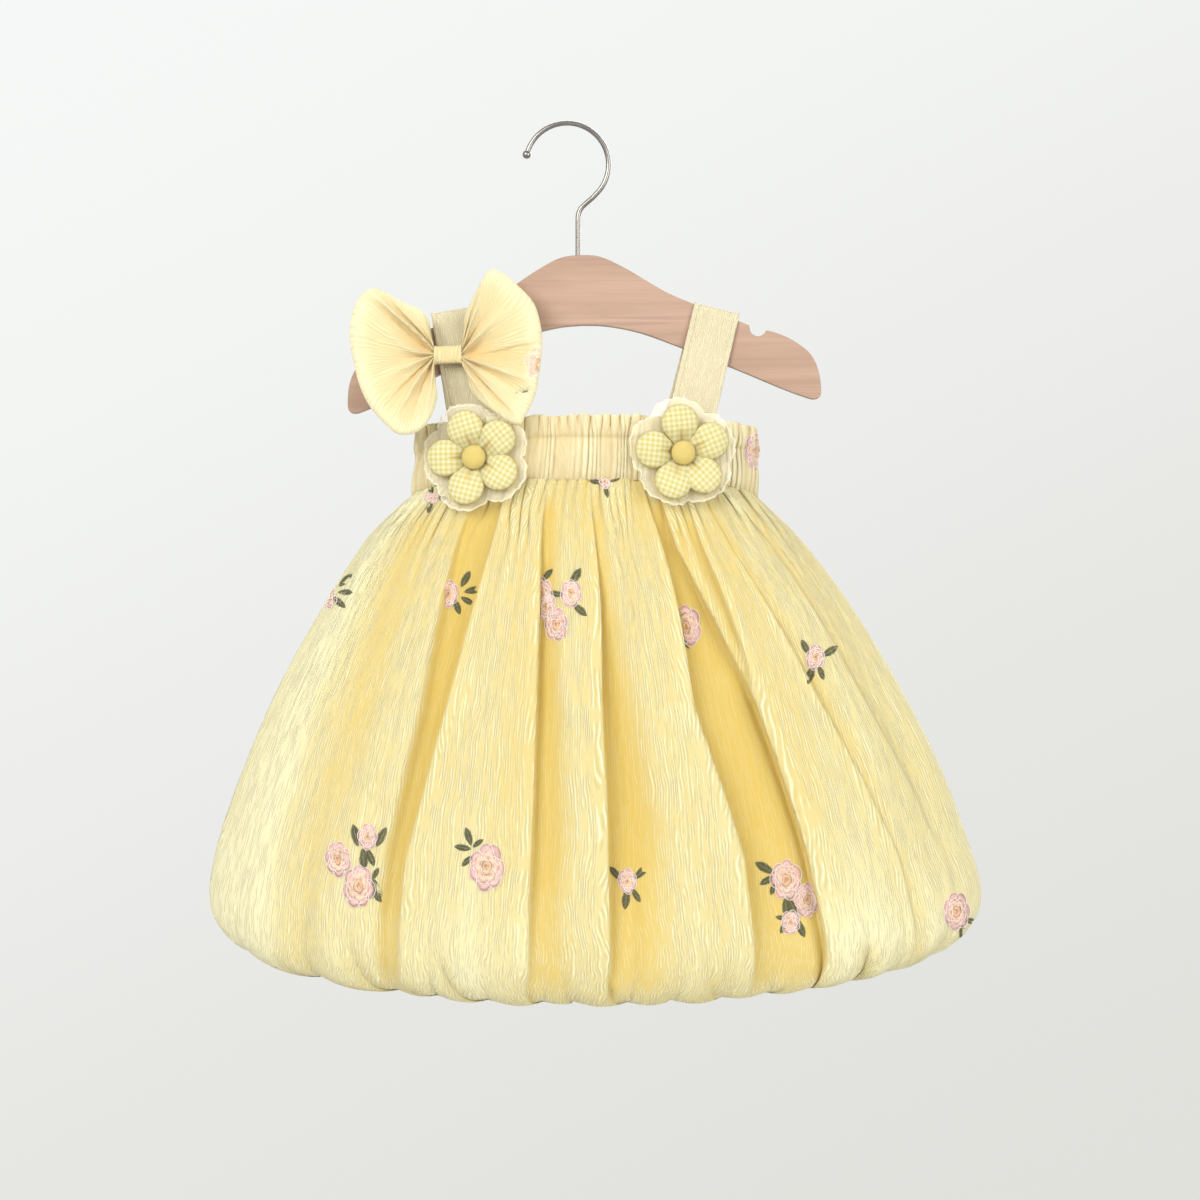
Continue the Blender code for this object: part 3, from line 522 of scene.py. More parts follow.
def gingham_material(weave):
    """Yellow and white check, woven: white, pale and full yellow squares."""
    made, nodes, shader = start_material("gingham_cotton", 0.85, sheen=0.35)
    cloth = nodes.add("UVMap").outputs[0]
    parts = nodes.add("SeparateXYZ", Vector=cloth)
    bands = []
    for axis in (0, 1):
        wave = nodes.maths("SINE", nodes.times(parts.outputs[axis], 2.0 * math.pi / CHECK))
        bands.append(nodes.ramp(wave, -0.25, 0.25))
    both = nodes.times(nodes.maths("ADD", bands[0], bands[1]), 0.5)
    woven = nodes.add("Group", {"node_tree": weave}, Cloth=cloth, Thread=0.3)
    check = nodes.mix(both, colour(0.77, 0.73, 0.47), colour(0.65, 0.57, 0.185))
    # painted shade in the petal's pinch crease, towards a deeper yellow
    tint = nodes.mix(nodes.times(nodes.mark("fold"), 0.5), check, colour(0.66, 0.46, 0.09))
    normal = nodes.cover(shader, tint, woven.outputs[0], 0.08, 0.8)
    let_light_through(nodes, shader, 0.15, tint, normal)
    return made


def button_material(weave):
    """Deep yellow cotton pulled over a dome."""
    made, nodes, shader = start_material("button_cotton", 0.75, sheen=0.2)
    cloth = nodes.add("UVMap").outputs[0]
    woven = nodes.add("Group", {"node_tree": weave}, Cloth=cloth, Thread=0.45)
    # darker in the gaps between the threads: painted shade of the weave
    tint = nodes.mix(woven.outputs[0], colour(0.565, 0.42, 0.082), colour(0.635, 0.50, 0.155))
    nodes.cover(shader, tint, woven.outputs[0], 0.15, 0.9)
    return made


def organza_material():
    """Stiff sheer organza, less clear at the narrow hem round its edge."""
    made, nodes, shader = start_material("organza", 0.45, sheen=0.5)
    cloth = nodes.add("UVMap").outputs[0]
    streaks = nodes.noise(cloth, 0.14, 3.0, flat=True)
    tint = nodes.mix(streaks, colour(0.98, 0.89, 0.60), colour(0.99, 0.97, 0.84))
    nodes.set(shader.inputs["Alpha"], nodes.maths("ADD", 0.22, nodes.times(nodes.mark("edge"), 0.40)))
    nodes.cover(shader, tint, streaks, 0.15, 0.4)
    return made


def thread_material():
    """Glossy embroidery thread in the colour painted on each stitch."""
    made, nodes, shader = start_material("embroidery_thread", 0.45, sheen=0.08)
    place = nodes.add("TexCoord").outputs["Object"]
    dye = nodes.add("Attribute", {"attribute_name": "dye"}).outputs["Color"]
    strands = nodes.noise(place, 2500.0, 2.0)
    nodes.set(shader.inputs["Roughness"], nodes.maths("ADD", 0.35, nodes.times(strands, 0.3)))
    nodes.cover(shader, dye, strands, 0.08, 0.6)
    return made


def wood_material():
    """Reddish light brown wood with long fine grain and darker pores, under satin varnish."""
    made, nodes, shader = start_material("hanger_wood", 0.5)
    shader.inputs["Coat Weight"].default_value = 0.15
    shader.inputs["Coat Roughness"].default_value = 0.35
    place = nodes.add("TexCoord").outputs["Object"]
    drawn = nodes.add("Mapping", Vector=place, Scale=(6.0, 60.0, 95.0),
                      Rotation=(0.0, math.radians(3.0), 0.0)).outputs[0]
    rings = nodes.noise(drawn, 1.0, 4.0, Roughness=0.55, Distortion=0.6)
    fine_place = nodes.add("Mapping", Vector=place, Scale=(30.0, 900.0, 950.0)).outputs[0]
    pores = nodes.noise(fine_place, 1.0, 3.0, Roughness=0.6)
    streak_place = nodes.add("Mapping", Vector=place, Scale=(7.0, 260.0, 300.0)).outputs[0]
    streaks = nodes.noise(streak_place, 1.0, 2.0)
    bands = nodes.ramp(rings, 0.30, 0.72)
    tint = nodes.mix(bands, colour(0.45, 0.30, 0.215), colour(0.37, 0.235, 0.165))
    # streaks and pores of the grain, then darker in a band along the board's rounded edges
    for mask, strength, dark in (
            (nodes.ramp(streaks, 0.57, 0.72), 0.5, colour(0.31, 0.19, 0.15)),
            (nodes.ramp(pores, 0.54, 0.78), 0.35, colour(0.34, 0.20, 0.14)),
            (nodes.mark("edge"), 0.45, colour(0.30, 0.15, 0.10))):
        tint = nodes.mix(nodes.times(mask, strength), tint, dark)
    nodes.set(shader.inputs["Roughness"], nodes.maths("ADD", 0.42, nodes.times(bands, 0.15)))
    nodes.cover(shader, tint, pores, 0.12, 0.4)
    return made


def steel_material():
    """Nickel-plated wire with faint wear."""
    made, nodes, shader = start_material("nickel_wire", 0.28, metallic=1.0)
    place = nodes.add("TexCoord").outputs["Object"]
    worn = nodes.noise(place, 180.0, 4.0, Roughness=0.6)
    tint = nodes.mix(worn, colour(0.22, 0.205, 0.185), colour(0.36, 0.34, 0.315))
    nodes.set(shader.inputs["Roughness"], nodes.maths("ADD", 0.18, nodes.times(worn, 0.22)))
    nodes.cover(shader, tint, worn, 0.03, 0.3)
    return made


def make_finishes():
    """Every finish of the dress and its hanger, by name."""
    weave = weave_group()
    crinkle = crinkle_group()
    finishes = {cloth: crinkled_material(kind, crinkle, weave) for cloth, kind in CRINKLED.items()}
    finishes["lining"] = lining_material(weave)
    finishes["gingham"] = gingham_material(weave)
    finishes["button"] = button_material(weave)
    finishes["organza"] = organza_material()
    finishes["thread"] = thread_material()
    finishes["wood"] = wood_material()
    finishes["steel"] = steel_material()
    return finishes


# ---- Skirt, lining and waistband ----

def read_sections(table, rows):
    """A table's sections read finely: for each named column, a value for every row."""
    places = np.linspace(0.0, len(table) - 1.0, rows + 1)[:, None]
    return {field: curve_through([getattr(section, field) for section in table], places)
            for field in Section._fields}


def column_angles(columns, side):
    """The angle of each column round the body, a little closer together at the side seams."""
    even = np.linspace(-1.0, 1.0, columns + 1)
    across = 0.7 * even + 0.3 * np.sin(even * math.pi / 2.0)
    return -side * np.arcsin(np.clip(across, -1.0, 1.0))[None, :]


def ring_points(ring, angle, side, outward, shift=0.0, drop=0.0):
    """Points round a ring, moved out from it, along it to the viewer's right, and down."""
    depth = ring["front"] if side == FRONT else ring["back"]
    sine, cosine = np.sin(angle), np.cos(angle)
    normal_x, normal_y = depth * sine, ring["half"] * cosine
    length = np.maximum(np.hypot(normal_x, normal_y), 0.001)
    normal_x, normal_y = normal_x / length, normal_y / length
    x = ring["centre"] + ring["half"] * sine + outward * normal_x + shift * normal_y
    y = side * (depth * cosine + outward * normal_y - shift * normal_x)
    z = ring["side_z"] + (ring["mid_z"] - ring["side_z"]) * cosine - drop
    return grid_of(x, y, z)


def seam_fade(angle, reach=0.06):
    """Nothing at the side seams, rising to 1 a little way in."""
    return ease((1.0 - np.abs(np.sin(angle))) / reach)


def gather_wave(across, height, count, seed):
    """Uneven gathers from -1 to 1, and the sideways sway that folds each one over its neighbour."""
    place = (across + 1.0) / 2.0 * count
    place = place + 0.9 * soft_noise(place * 0.35, height / 90.0, seed)
    place = place + 0.25 * soft_noise(place * 0.9, height / 22.0, seed + 1)
    size = 0.56 + 0.50 * soft_noise(place * 0.55 + 7.0, height / 120.0, seed + 2)
    turn = math.pi * place
    crest = 2.0 * np.abs(np.sin(turn)) ** 0.7 - 1.0
    return crest * size, np.sin(2.0 * turn + 2.6) * size


def folds_of(side, across, height):
    """Depth of the troughs, sideways roll of the cloth beside them, and how golden the cloth is, with
    painted shade.
    """
    levels = [-z for z in FOLD_HEIGHTS]
    depth = np.zeros(np.broadcast(across, height).shape)
    roll = np.zeros_like(depth)
    gold = np.zeros_like(depth)
    for fold in FOLDS[side]:
        left = np.interp(-height, levels, (fold.high_l, fold.mid_l, fold.low_l))
        right = np.interp(-height, levels, (fold.high_r, fold.mid_r, fold.low_r))
        in_left = (across - left) / fold.fall_l
        in_right = (right - across) / fold.fall_r
        depth = depth + fold.depth * ease(in_left) * ease(in_right)
        gold = np.maximum(gold, fold.gold * ease(in_left * 1.3) * ease(in_right * 1.3))
        roll = roll + fold.lap_l * hump((in_left + 0.7) / 1.5) - fold.lap_r * hump((in_right + 0.7) / 1.5)
    return depth, roll, gold


def tucks_of(side, across, climbed):
    """Creases of the caught-up hem: their depth, roll, and how full the hem is between them."""
    deep = np.zeros(np.broadcast(across, climbed).shape)
    roll = np.zeros_like(deep)
    for tuck in TUCKS[side]:
        share = np.clip(climbed / tuck.climb, 0.0, 1.0)
        fading = (1.0 - share) ** 1.3
        away = (across - tuck.place - tuck.lean * share ** 0.6) * np.sign(tuck.lap)
        dip = np.where(away < 0.0, np.exp(-(away / TUCK_STEEP) ** 2), np.exp(-(away / TUCK_SOFT) ** 2))
        deep = deep + tuck.deep * dip * fading
        roll = roll + tuck.lap * fading * hump((away + 2.2 * TUCK_STEEP) / (4.4 * TUCK_STEEP))
    return deep, roll


def hem_lobes(side, across):
    """How full the hem is between two tucks: 0 at a tuck and 1 midway."""
    tucks = np.array([-1.0] + [tuck.place for tuck in TUCKS[side]] + [1.0])
    after = np.clip(np.searchsorted(tucks, across), 1, len(tucks) - 1)
    gap = tucks[after] - tucks[after - 1]
    share = (across - tucks[after - 1]) / gap
    return np.sin(math.pi * np.clip(share, 0.0, 1.0)) ** 0.6 * np.clip(gap / 0.14, 0.5, 1.2)


def skirt_points(side, columns, rows):
    """The skirt's surface, and how golden each point is, with its painted shade and painted light."""
    ring = read_sections(SKIRT, rows)
    angle = column_angles(columns, side)
    across = np.sin(angle)
    height = ring["side_z"] + (ring["mid_z"] - ring["side_z"]) * np.cos(angle)
    fade = seam_fade(angle)
    fold_share = np.clip(ring["folds"], 0.0, 1.0)
    puff_share = np.clip(ring["puffs"], 0.0, 1.0)
    run = np.hypot(np.diff(ring["mid_z"], axis=0), np.diff(ring["front"], axis=0))
    run = np.concatenate(([[0.0]], np.cumsum(run, axis=0)))
    climbed = run[np.argmin(ring["mid_z"])] - run
    climbed = np.where(climbed < 0.0, -climbed * 2.5, climbed)
    depth, roll, gold = folds_of(side, across, height)
    below_waist = ring["mid_z"][0] - ring["mid_z"]
    lasts = 30.0 + 22.0 * soft_noise(across * 20.0, 0.5, 11 + side)
    gathered = GATHER_HEIGHT * np.exp(-(below_waist / lasts) ** 2) + 0.30 * np.exp(-below_waist / 70.0)
    wave, sway = gather_wave(across, height, SKIRT_GATHERS, 21 + side)
    deep, lap = tucks_of(side, across, climbed)
    lobes = hem_lobes(side, across) * puff_share
    cloth_x = across * DRAPED_HALF
    broad = soft_noise(cloth_x / 30.0, height / 190.0, 31 + side)
    narrow = soft_noise(cloth_x / 12.0, height / 130.0, 33 + side)
    drape = broad * DRAPE_BROAD * ease(below_waist / 90.0) + narrow * DRAPE_NARROW * ease(below_waist / 35.0)
    crinkle = soft_noise(cloth_x / 2.1, height / 12.0, 41 + side) * CRINKLE_FINE
    crinkle = crinkle + soft_noise(cloth_x / 5.0, height / 26.0, 51 + side) * CRINKLE_COARSE
    crinkle = crinkle * (1.0 - 0.8 * gold)
    outward = wave * gathered + drape + crinkle - depth * fold_share - deep + PUFF_BULGE * lobes
    sideways = roll * fold_share + lap + sway * gathered * 0.9
    drop = PUFF_LIFT * (lobes - puff_share)
    points = ring_points(ring, angle, side, outward * fade, sideways * fade, drop)
    # painted shade in the gathers' troughs and a painted highlight on their crests
    gather_shade = (0.15 - 0.85 * wave) * np.clip(gathered / GATHER_HEIGHT, 0.0, 1.0)
    # painted shade where the drape dips in
    drape_shade = 0.22 * ease(0.5 - broad) + 0.14 * ease(0.5 - narrow)
    waist = 0.34 * np.exp(-(below_waist / 75.0) ** 2)
    shade = gold * ease((fold_share - 0.10) / 0.4) + gather_shade * 0.7 + drape_shade * (1.0 - gold) + waist
    # painted shade in the hem's tuck creases, and more golden towards the middle, where the lining lies
    # behind
    shade = shade + 0.45 * np.clip(deep / 5.0, 0.0, 1.0) + 0.10 * (1.0 - np.abs(across))
    # paler over the rolled hem: painted light shining through the thin cloth
    shade = shade - 0.30 * puff_share
    # paler at the side edges, where no lining lies behind: painted light shining through
    airy = ease((-across - 0.70) / 0.25) + 0.5 * ease((across - 0.85) / 0.12)
    shade = shade * (1.0 - 0.5 * airy) - 0.35 * airy
    return points, shade + PLAIN


def lining_points(side, columns, rows):
    """The lining's surface, plain but for a few soft waves."""
    ring = read_sections(LINING, rows)
    angle = column_angles(columns, side)
    height = ring["side_z"] + (ring["mid_z"] - ring["side_z"]) * np.cos(angle)
    below_waist = ring["mid_z"][0] - ring["mid_z"]
    wave = soft_noise(np.sin(angle) * 9.0, height / 180.0, 61 + side) * 0.8
    wave = wave * ease(below_waist / 80.0) * ease((rows - np.arange(rows + 1)[:, None]) / 8.0)
    return ring_points(ring, angle, side, (wave - 0.2) * seam_fade(angle))


def band_points(side, columns, rows):
    """The waistband: a ruffled heading over an elastic casing, pinched at two lines of stitches."""
    ring = read_sections(BAND, rows)
    row = np.linspace(0.0, len(BAND) - 1.0, rows + 1)[:, None]
    angle = column_angles(columns, side)
    across = np.sin(angle)
    heading = ease((BAND_TOP_STITCH - row) / BAND_TOP_STITCH)
    wave, sway = gather_wave(across, row * 14.0, HEADING_GATHERS, 71 + side)
    fine, fine_sway = gather_wave(across, row * 9.0, CASING_GATHERS, 81 + side)
    pinch = hump((row - BAND_TOP_STITCH + 0.25) / 0.5) + hump((row - BAND_LOW_STITCH + 0.2) / 0.4)
    casing = hump((row - BAND_TOP_STITCH) / (BAND_LOW_STITCH - BAND_TOP_STITCH))
    outward = wave * (0.35 + 2.05 * heading) + fine * (0.95 - 0.45 * heading) - 0.9 * pinch + 0.6 * casing
    sideways = sway * (0.2 + 1.5 * heading) + fine_sway * 0.45
    lift = heading * (0.9 * wave + 1.1 * soft_noise(across * 24.0, 0.3, 99 + side))
    fade = seam_fade(angle, 0.03)
    points = ring_points(ring, angle, side, outward * fade, sideways * fade, -lift * fade)
    # painted shade in the gathers' troughs, a painted highlight on their crests, and painted shade along the
    # pinched stitch lines
    shade = (0.40 - 0.9 * wave) * (0.25 + 0.6 * heading) + (0.30 - 0.75 * fine) * (1.0 - heading)
    return points, np.clip(shade + 0.3 * pinch, -0.3, 1.0) + PLAIN


def build_panels():
    """Skirt, lining and waistband, front and back; returns the surfaces that stitches lie on."""
    surfaces = {}
    for side, end in ((FRONT, "front"), (BACK, "back")):
        columns, rows = SKIRT_GRID[side]
        points, shade = skirt_points(side, columns, rows)
        skirt = cloth_grid(columns, rows, points, *SKIRT_CLOTH, {"fold": shade})
        surfaces["skirt", side] = surface_of(points)
        thicken(skirt, CHIFFON)
        dress(skirt, "skirt_%s_cloth" % end, finish["skirt"], "chiffon", "skirt_" + end)

        points = lining_points(side, *LINING_GRID)
        lining = cloth_grid(*LINING_GRID, points, *LINING_CLOTH, {})
        thicken(lining, VOILE)
        dress(lining, "lining_%s_cloth" % end, finish["lining"], "lining", "lining_" + end)

        points, shade = band_points(side, *BAND_GRID)
        band = cloth_grid(*BAND_GRID, points, *BAND_CLOTH, {"fold": shade})
        surfaces["band", side] = surface_of(points)
        thicken(band, CHIFFON)
        dress(band, "band_%s_cloth" % end, finish["band"], "chiffon", "band_" + end)
    return surfaces


def surface_of(points):
    """Something that rays can be cast at, from a grid of points in millimetres."""
    rows, columns = points.shape[:2]
    index = np.arange(rows * columns).reshape(rows, columns)
    corners = (index[:-1, :-1], index[1:, :-1], index[1:, 1:], index[:-1, 1:])
    faces = np.stack([corner.ravel() for corner in corners], axis=1)
    return BVHTree.FromPolygons(points.reshape(-1, 3).tolist(), faces.tolist())


# ---- Hanger ----

WIRE_R = 1.6
WIRE_SIDES = 8
HOOK_R = 26.4
HOOK_TIP_ANGLE = 166.0
HOOK_END_ANGLE = -38.0
HOOK_TIP_BALL_R = 2.7
# How the wire bends from the end of its arc back over the stem
HOOK_NECK = [(16.6, -45.6), (12.0, -49.6), (9.0, -52.6), (7.4, -56.0), (7.0, -60.0), (7.0, -66.0)]
STEM_FOOT = (7.0, -106.0)
BOARD_TOP = (8.3, -82.8)
BOARD_TILT = 1.8
BOARD_THICKNESS = 12.0
BOARD_EDGE = 1.9
BOARD_DARK_EDGE = 1.2
NOTCH_R = 5.4
# Half of the board's outline, out from its middle and down from its top
Outline = namedtuple("Outline", "out down")
BOARD_UPPER = [
    Outline(0.0, 0.0), Outline(8.0, 0.5), Outline(15.0, 2.3), Outline(22.9, 6.2), Outline(33.1, 12.1),
    Outline(52.8, 24.6), Outline(71.4, 33.4), Outline(106.0, 47.8),
]
NOTCH_CENTRE = Outline(111.6, 49.7)
BOARD_LOWER = [
    Outline(117.0, 51.6), Outline(123.3, 53.4), Outline(133.3, 58.3), Outline(143.3, 66.2),
    Outline(148.4, 75.5), Outline(150.3, 86.0), Outline(150.0, 94.0), Outline(146.0, 96.0),
    Outline(139.8, 94.3), Outline(125.9, 88.7), Outline(105.2, 79.2), Outline(84.0, 69.8),
    Outline(62.5, 60.6), Outline(36.6, 50.3), Outline(15.0, 45.4), Outline(0.0, 44.4),
]


def smooth_route(stops, steps):
    """A smooth curve through a list of points, with steps between each two."""
    places = np.linspace(0.0, len(stops) - 1.0, steps * (len(stops) - 1) + 1)
    return np.stack([curve_through(column, places) for column in zip(*stops)], axis=1)


def board_outline():
    """The board's whole outline, clockwise from its top, in its own untilted frame."""
    turns = np.radians(np.linspace(200.0, 340.0, 11))
    notch = np.stack((NOTCH_CENTRE.out + NOTCH_R * np.cos(turns),
                      NOTCH_CENTRE.down - NOTCH_R * np.sin(turns)), axis=1)
    upper = smooth_route(BOARD_UPPER, 5)
    lower = smooth_route(BOARD_LOWER, 4)
    half = np.concatenate((upper, notch, lower)) * (1.0, -1.0)
    return np.concatenate((half, half[-2:0:-1] * (-1.0, 1.0)))


def board_place(across, y, height):
    """A point of the board, from its own untilted frame to the world."""
    tilt = math.radians(BOARD_TILT)
    x = BOARD_TOP[0] + across * math.cos(tilt) - height * math.sin(tilt)
    z = BOARD_TOP[1] + across * math.sin(tilt) + height * math.cos(tilt)
    return x, y, z


def build_board():
    """The flat wooden board, its edges rounded over and darker."""
    outline = board_outline()
    deselect()
    bpy.ops.mesh.primitive_circle_add(vertices=len(outline), radius=1.0, fill_type="NGON")
    board = bpy.context.object
    front = np.full(len(outline), BOARD_THICKNESS / 2.0 * FRONT)
    put_points(board, np.stack(board_place(outline[:, 0], front, outline[:, 1]), axis=1))
    through = {"value": (0.0, BOARD_THICKNESS * MM, 0.0)}
    edit_all(board, bpy.ops.mesh.extrude_region_move, TRANSFORM_OT_translate=through)
    edit_all(board, bpy.ops.mesh.normals_make_consistent, inside=False)
    edges = board.modifiers.new("Rounded edges", "BEVEL")
    edges.width = BOARD_EDGE * MM
    edges.segments = 4
    edges.limit_method = "ANGLE"
    edges.angle_limit = math.radians(60.0)
    apply_modifiers(board)
    from_face = BOARD_THICKNESS / 2.0 - np.abs(points_of(board)[:, 1] / MM)
    paint(board, "edge", ease((from_face - 0.02) / BOARD_DARK_EDGE))
    board.data.shade_smooth()
    board.data.set_sharp_from_angle(angle=math.radians(35.0))
    dress(board, "hanger_wood_board", finish["wood"], "wood", "hanger_board")


def build_hook():
    """The wire hook, with a ball at its tip, down into the board."""
    turns = np.radians(np.linspace(HOOK_TIP_ANGLE, HOOK_END_ANGLE, 60))
    arc = np.stack((HOOK_R * np.cos(turns), WIRE_R - HOOK_R + HOOK_R * np.sin(turns)), axis=1)
    neck = smooth_route([tuple(arc[-1])] + HOOK_NECK, 4)[1:]
    route = np.concatenate((arc, neck, [STEM_FOOT]))
    curve = bpy.data.curves.new("hook_wire", "CURVE")
    curve.dimensions = "3D"
    curve.bevel_depth = WIRE_R * MM
    curve.bevel_resolution = WIRE_SIDES // 2
    curve.use_fill_caps = True
    spline = curve.splines.new("POLY")
    spline.points.add(len(route) - 1)
    for target, (x, z) in zip(spline.points, route):
        target.co = (x * MM, 0.0, z * MM, 1.0)
    wire = link_new("hook_wire", curve)
    tip_x, tip_z = route[0]
    deselect()
    bpy.ops.mesh.primitive_uv_sphere_add(segments=32, ring_count=16, radius=HOOK_TIP_BALL_R * MM,
                                         location=(tip_x * MM, 0.0, tip_z * MM))
    ball = bpy.context.object
    activate(wire)
    bpy.ops.object.convert(target="MESH")
    hook = join_all([bpy.context.object, ball])
    bpy.ops.object.transform_apply(location=True, rotation=True, scale=True)
    hook.data.shade_smooth()
    dress(hook, "hanger_wire_hook", finish["steel"], "steel", "hanger_hook")


def join_all(objects):
    """Join objects into the first of them."""
    deselect()
    for obj in objects:
        obj.select_set(True)
    bpy.context.view_layer.objects.active = objects[0]
    bpy.ops.object.join()
    return objects[0]


# ---- Straps ----

STRAP_WIDTH = 29.4
STRAP_WALL = 1.4
STRAP_REST = 0.5
STRAP_LEG_CLEARANCE = 0.5
STRAP_BELOW_BAND_FACE = 4.1
STRAP_GRID = (28, 130)
STRAP_HEM = 2.6
# How far the cotton lies inside the solid strap's face
STRAP_SUNK = 0.45
STRAP_STITCH = 2.1
STRAP_STITCH_GAP = 0.9
STRAP_THREAD = 0.16
STRAP_DYE = (0.74, 0.66, 0.36)
Strap = namedtuple("Strap", "name foot_x foot_z top_x back_foot_shift")
STRAPS = [
    Strap("strap_left", -58.0, -204.0, -72.0, 2.5),
    Strap("strap_right", 75.0, -204.0, 95.6, -2.5),
]
# Stations up one leg of a strap, as shares of its height: how closely it hugs the band there
LegStation = namedtuple("LegStation", "rise hug")
STRAP_LEG = [
    LegStation(0.0, 1.0), LegStation(0.14, 0.98), LegStation(0.30, 0.80), LegStation(0.52, 0.40),
    LegStation(0.74, 0.08),
]
# Stations over the board: in from the leg's outer face, and down from the strap's highest line
TopStation = namedtuple("TopStation", "inward fall")
STRAP_TOP = [
    TopStation(0.0, 12.0), TopStation(0.0, 3.0), TopStation(0.5, 1.1), TopStation(1.6, 0.2),
    TopStation(4.4, 0.0),
]


def board_top_height(x):
    """The height of the board's upper edge above a place along it, with the tilt taken in."""
    tilt = math.radians(BOARD_TILT)
    outs = [point.out for point in BOARD_UPPER]
    downs = [point.down for point in BOARD_UPPER]
    down = 0.0
    for _ in range(4):
        out = (x - BOARD_TOP[0] - down * math.sin(tilt)) / math.cos(tilt)
        down = np.interp(abs(out), outs, downs)
    return BOARD_TOP[1] - down * math.cos(tilt) + out * math.sin(tilt)


def band_depth(x, side):
    """How far in front of or behind the middle the waistband's outer face lies."""
    section = BAND[1]
    depth = section.front if side == FRONT else section.back
    across = np.minimum(1.0, np.abs(x - section.centre) / section.half)
    return depth * np.sqrt(1.0 - across * across)


def strap_rows(strap, shares):
    """Rows of points across a strap, from the foot of its front leg over the board to the back."""
    guess_top = board_top_height(strap.top_x)
    along = Vector((strap.top_x - strap.foot_x, 0.0, guess_top - strap.foot_z)).normalized()
    across = np.array((along.z, 0.0, -along.x))
    rise = 0.0
    for share in (-1.0, -0.5, 0.0, 0.5, 1.0):
        offset = across * (STRAP_WIDTH / 2.0 * share)
        rise = max(rise, board_top_height(strap.top_x + offset[0]) - guess_top - offset[2])
    top = guess_top + rise + STRAP_REST + STRAP_WALL
    tall = top - strap.foot_z
    leg_depth = BOARD_THICKNESS / 2.0 + STRAP_LEG_CLEARANCE + STRAP_WALL
    rises = [(station.rise, leg_depth, station.hug) for station in STRAP_LEG]
    rises += [(1.0 - station.fall / tall, leg_depth - station.inward, 0.0) for station in STRAP_TOP]
    legs = {}
    for side in (FRONT, BACK):
        foot_x = strap.foot_x + (strap.back_foot_shift if side == BACK else 0.0)
        legs[side] = []
        for share, depth, hug in rises:
            middle = np.array((foot_x + (strap.top_x - foot_x) * share, side * depth,
                               strap.foot_z + tall * share))
            row = middle + across * (STRAP_WIDTH / 2.0 * shares[:, None])
            hugged = side * (band_depth(row[:, 0], side) - STRAP_BELOW_BAND_FACE)
            row[:, 1] += (hugged - row[:, 1]) * hug
            legs[side].append(row)
    return np.array(legs[FRONT] + legs[BACK][::-1])


def even_rows(rows, count, blur):
    """Rows of points spread evenly along a strip, with its corners softened."""
    middle = rows[:, rows.shape[1] // 2]
    run = np.concatenate(([0.0], np.cumsum(np.linalg.norm(np.diff(middle, axis=0), axis=1))))
    places = np.linspace(0.0, run[-1], count + 1)
    spread = np.stack([[np.interp(places, run, rows[:, j, k]) for k in range(3)]
                       for j in range(rows.shape[1])])
    spread = np.transpose(spread, (2, 0, 1))
    for _ in range(blur):
        inner = (spread[:-2] + 2.0 * spread[1:-1] + spread[2:]) / 4.0
        spread = np.concatenate((spread[:1], inner, spread[-1:]))
    return spread, run[-1]


def grid_normals(points):
    """The outward direction at every point of a grid whose rows run down its front."""
    down = np.gradient(points, axis=0)
    along = np.gradient(points, axis=1)
    normal = np.cross(down, along)
    return normal / np.maximum(np.linalg.norm(normal, axis=2, keepdims=True), 1e-9)


def build_straps():
    """Two shoulder straps of crinkled cotton, each over the board from the front to the back."""
    columns, rows = STRAP_GRID
    shares = np.linspace(-1.0, 1.0, columns + 1)
    for number, strap in enumerate(STRAPS):
        points, long = even_rows(strap_rows(strap, shares), rows, 6)
        points = points[::-1]
        normal = grid_normals(points)
        from_edge = (1.0 - np.abs(shares)) * STRAP_WIDTH / 2.0
        down = np.linspace(0.0, long, rows + 1)[:, None]
        hem = 0.35 * (1.0 - ease((from_edge - STRAP_HEM) / 0.9))
        hem = hem - 0.25 * hump((from_edge - STRAP_HEM + 0.5) / 1.6)
        ripple = 0.16 * soft_noise(shares * 7.0, down / 30.0, 101 + number)
        ripple = ripple + 0.10 * soft_noise(shares * 14.0, down / 9.0, 103 + number)
        points = points + normal * (hem + ripple * ease(from_edge / 3.0) - STRAP_SUNK)[..., None]
        # painted shade in the hollows of the ripples, lighter on the raised hem
        shade = np.clip(0.25 - 0.5 * (hem + ripple), 0.0, 1.0) + PLAIN
        cloth = cloth_grid(columns, rows, points, STRAP_WIDTH, long, {"fold": shade})
        thicken(cloth, COTTON)
        dress(cloth, strap.name + "_cloth", finish["strap"], "strap_cotton", strap.name)
        for column in (3, columns - 3):
            outs = normal[2:-2, column]
            add_running_stitches(points[2:-2, column] + outs * 0.12, outs, STRAP_STITCH,
                                 STRAP_STITCH_GAP, STRAP_THREAD, STRAP_DYE)


# ---- Threads ----

threads = []


def add_threads(starts, ends, outs, width, tall, dye):
    """Keep stitches for later: their two ends, the way out of the cloth, their size and colour."""
    starts, ends, outs = (np.asarray(part, dtype=float).reshape(-1, 3) for part in (starts, ends, outs))
    dye = np.broadcast_to(np.asarray(dye, dtype=float), starts.shape)
    threads.append((starts, ends, outs, np.full(len(starts), width), np.full(len(starts), tall), dye))


def add_running_stitches(line, outs, long, gap, width, dye):
    """A row of stitches along a line of points."""
    run = np.concatenate(([0.0], np.cumsum(np.linalg.norm(np.diff(line, axis=0), axis=1))))
    first = np.arange(0.0, run[-1] - long, long + gap)
    ends = [np.stack([np.interp(first + shift, run, line[:, k]) for k in range(3)], axis=1)
            for shift in (0.0, long)]
    out = np.stack([np.interp(first, run, outs[:, k]) for k in range(3)], axis=1)
    add_threads(ends[0], ends[1], out, width, width * 0.9, dye)


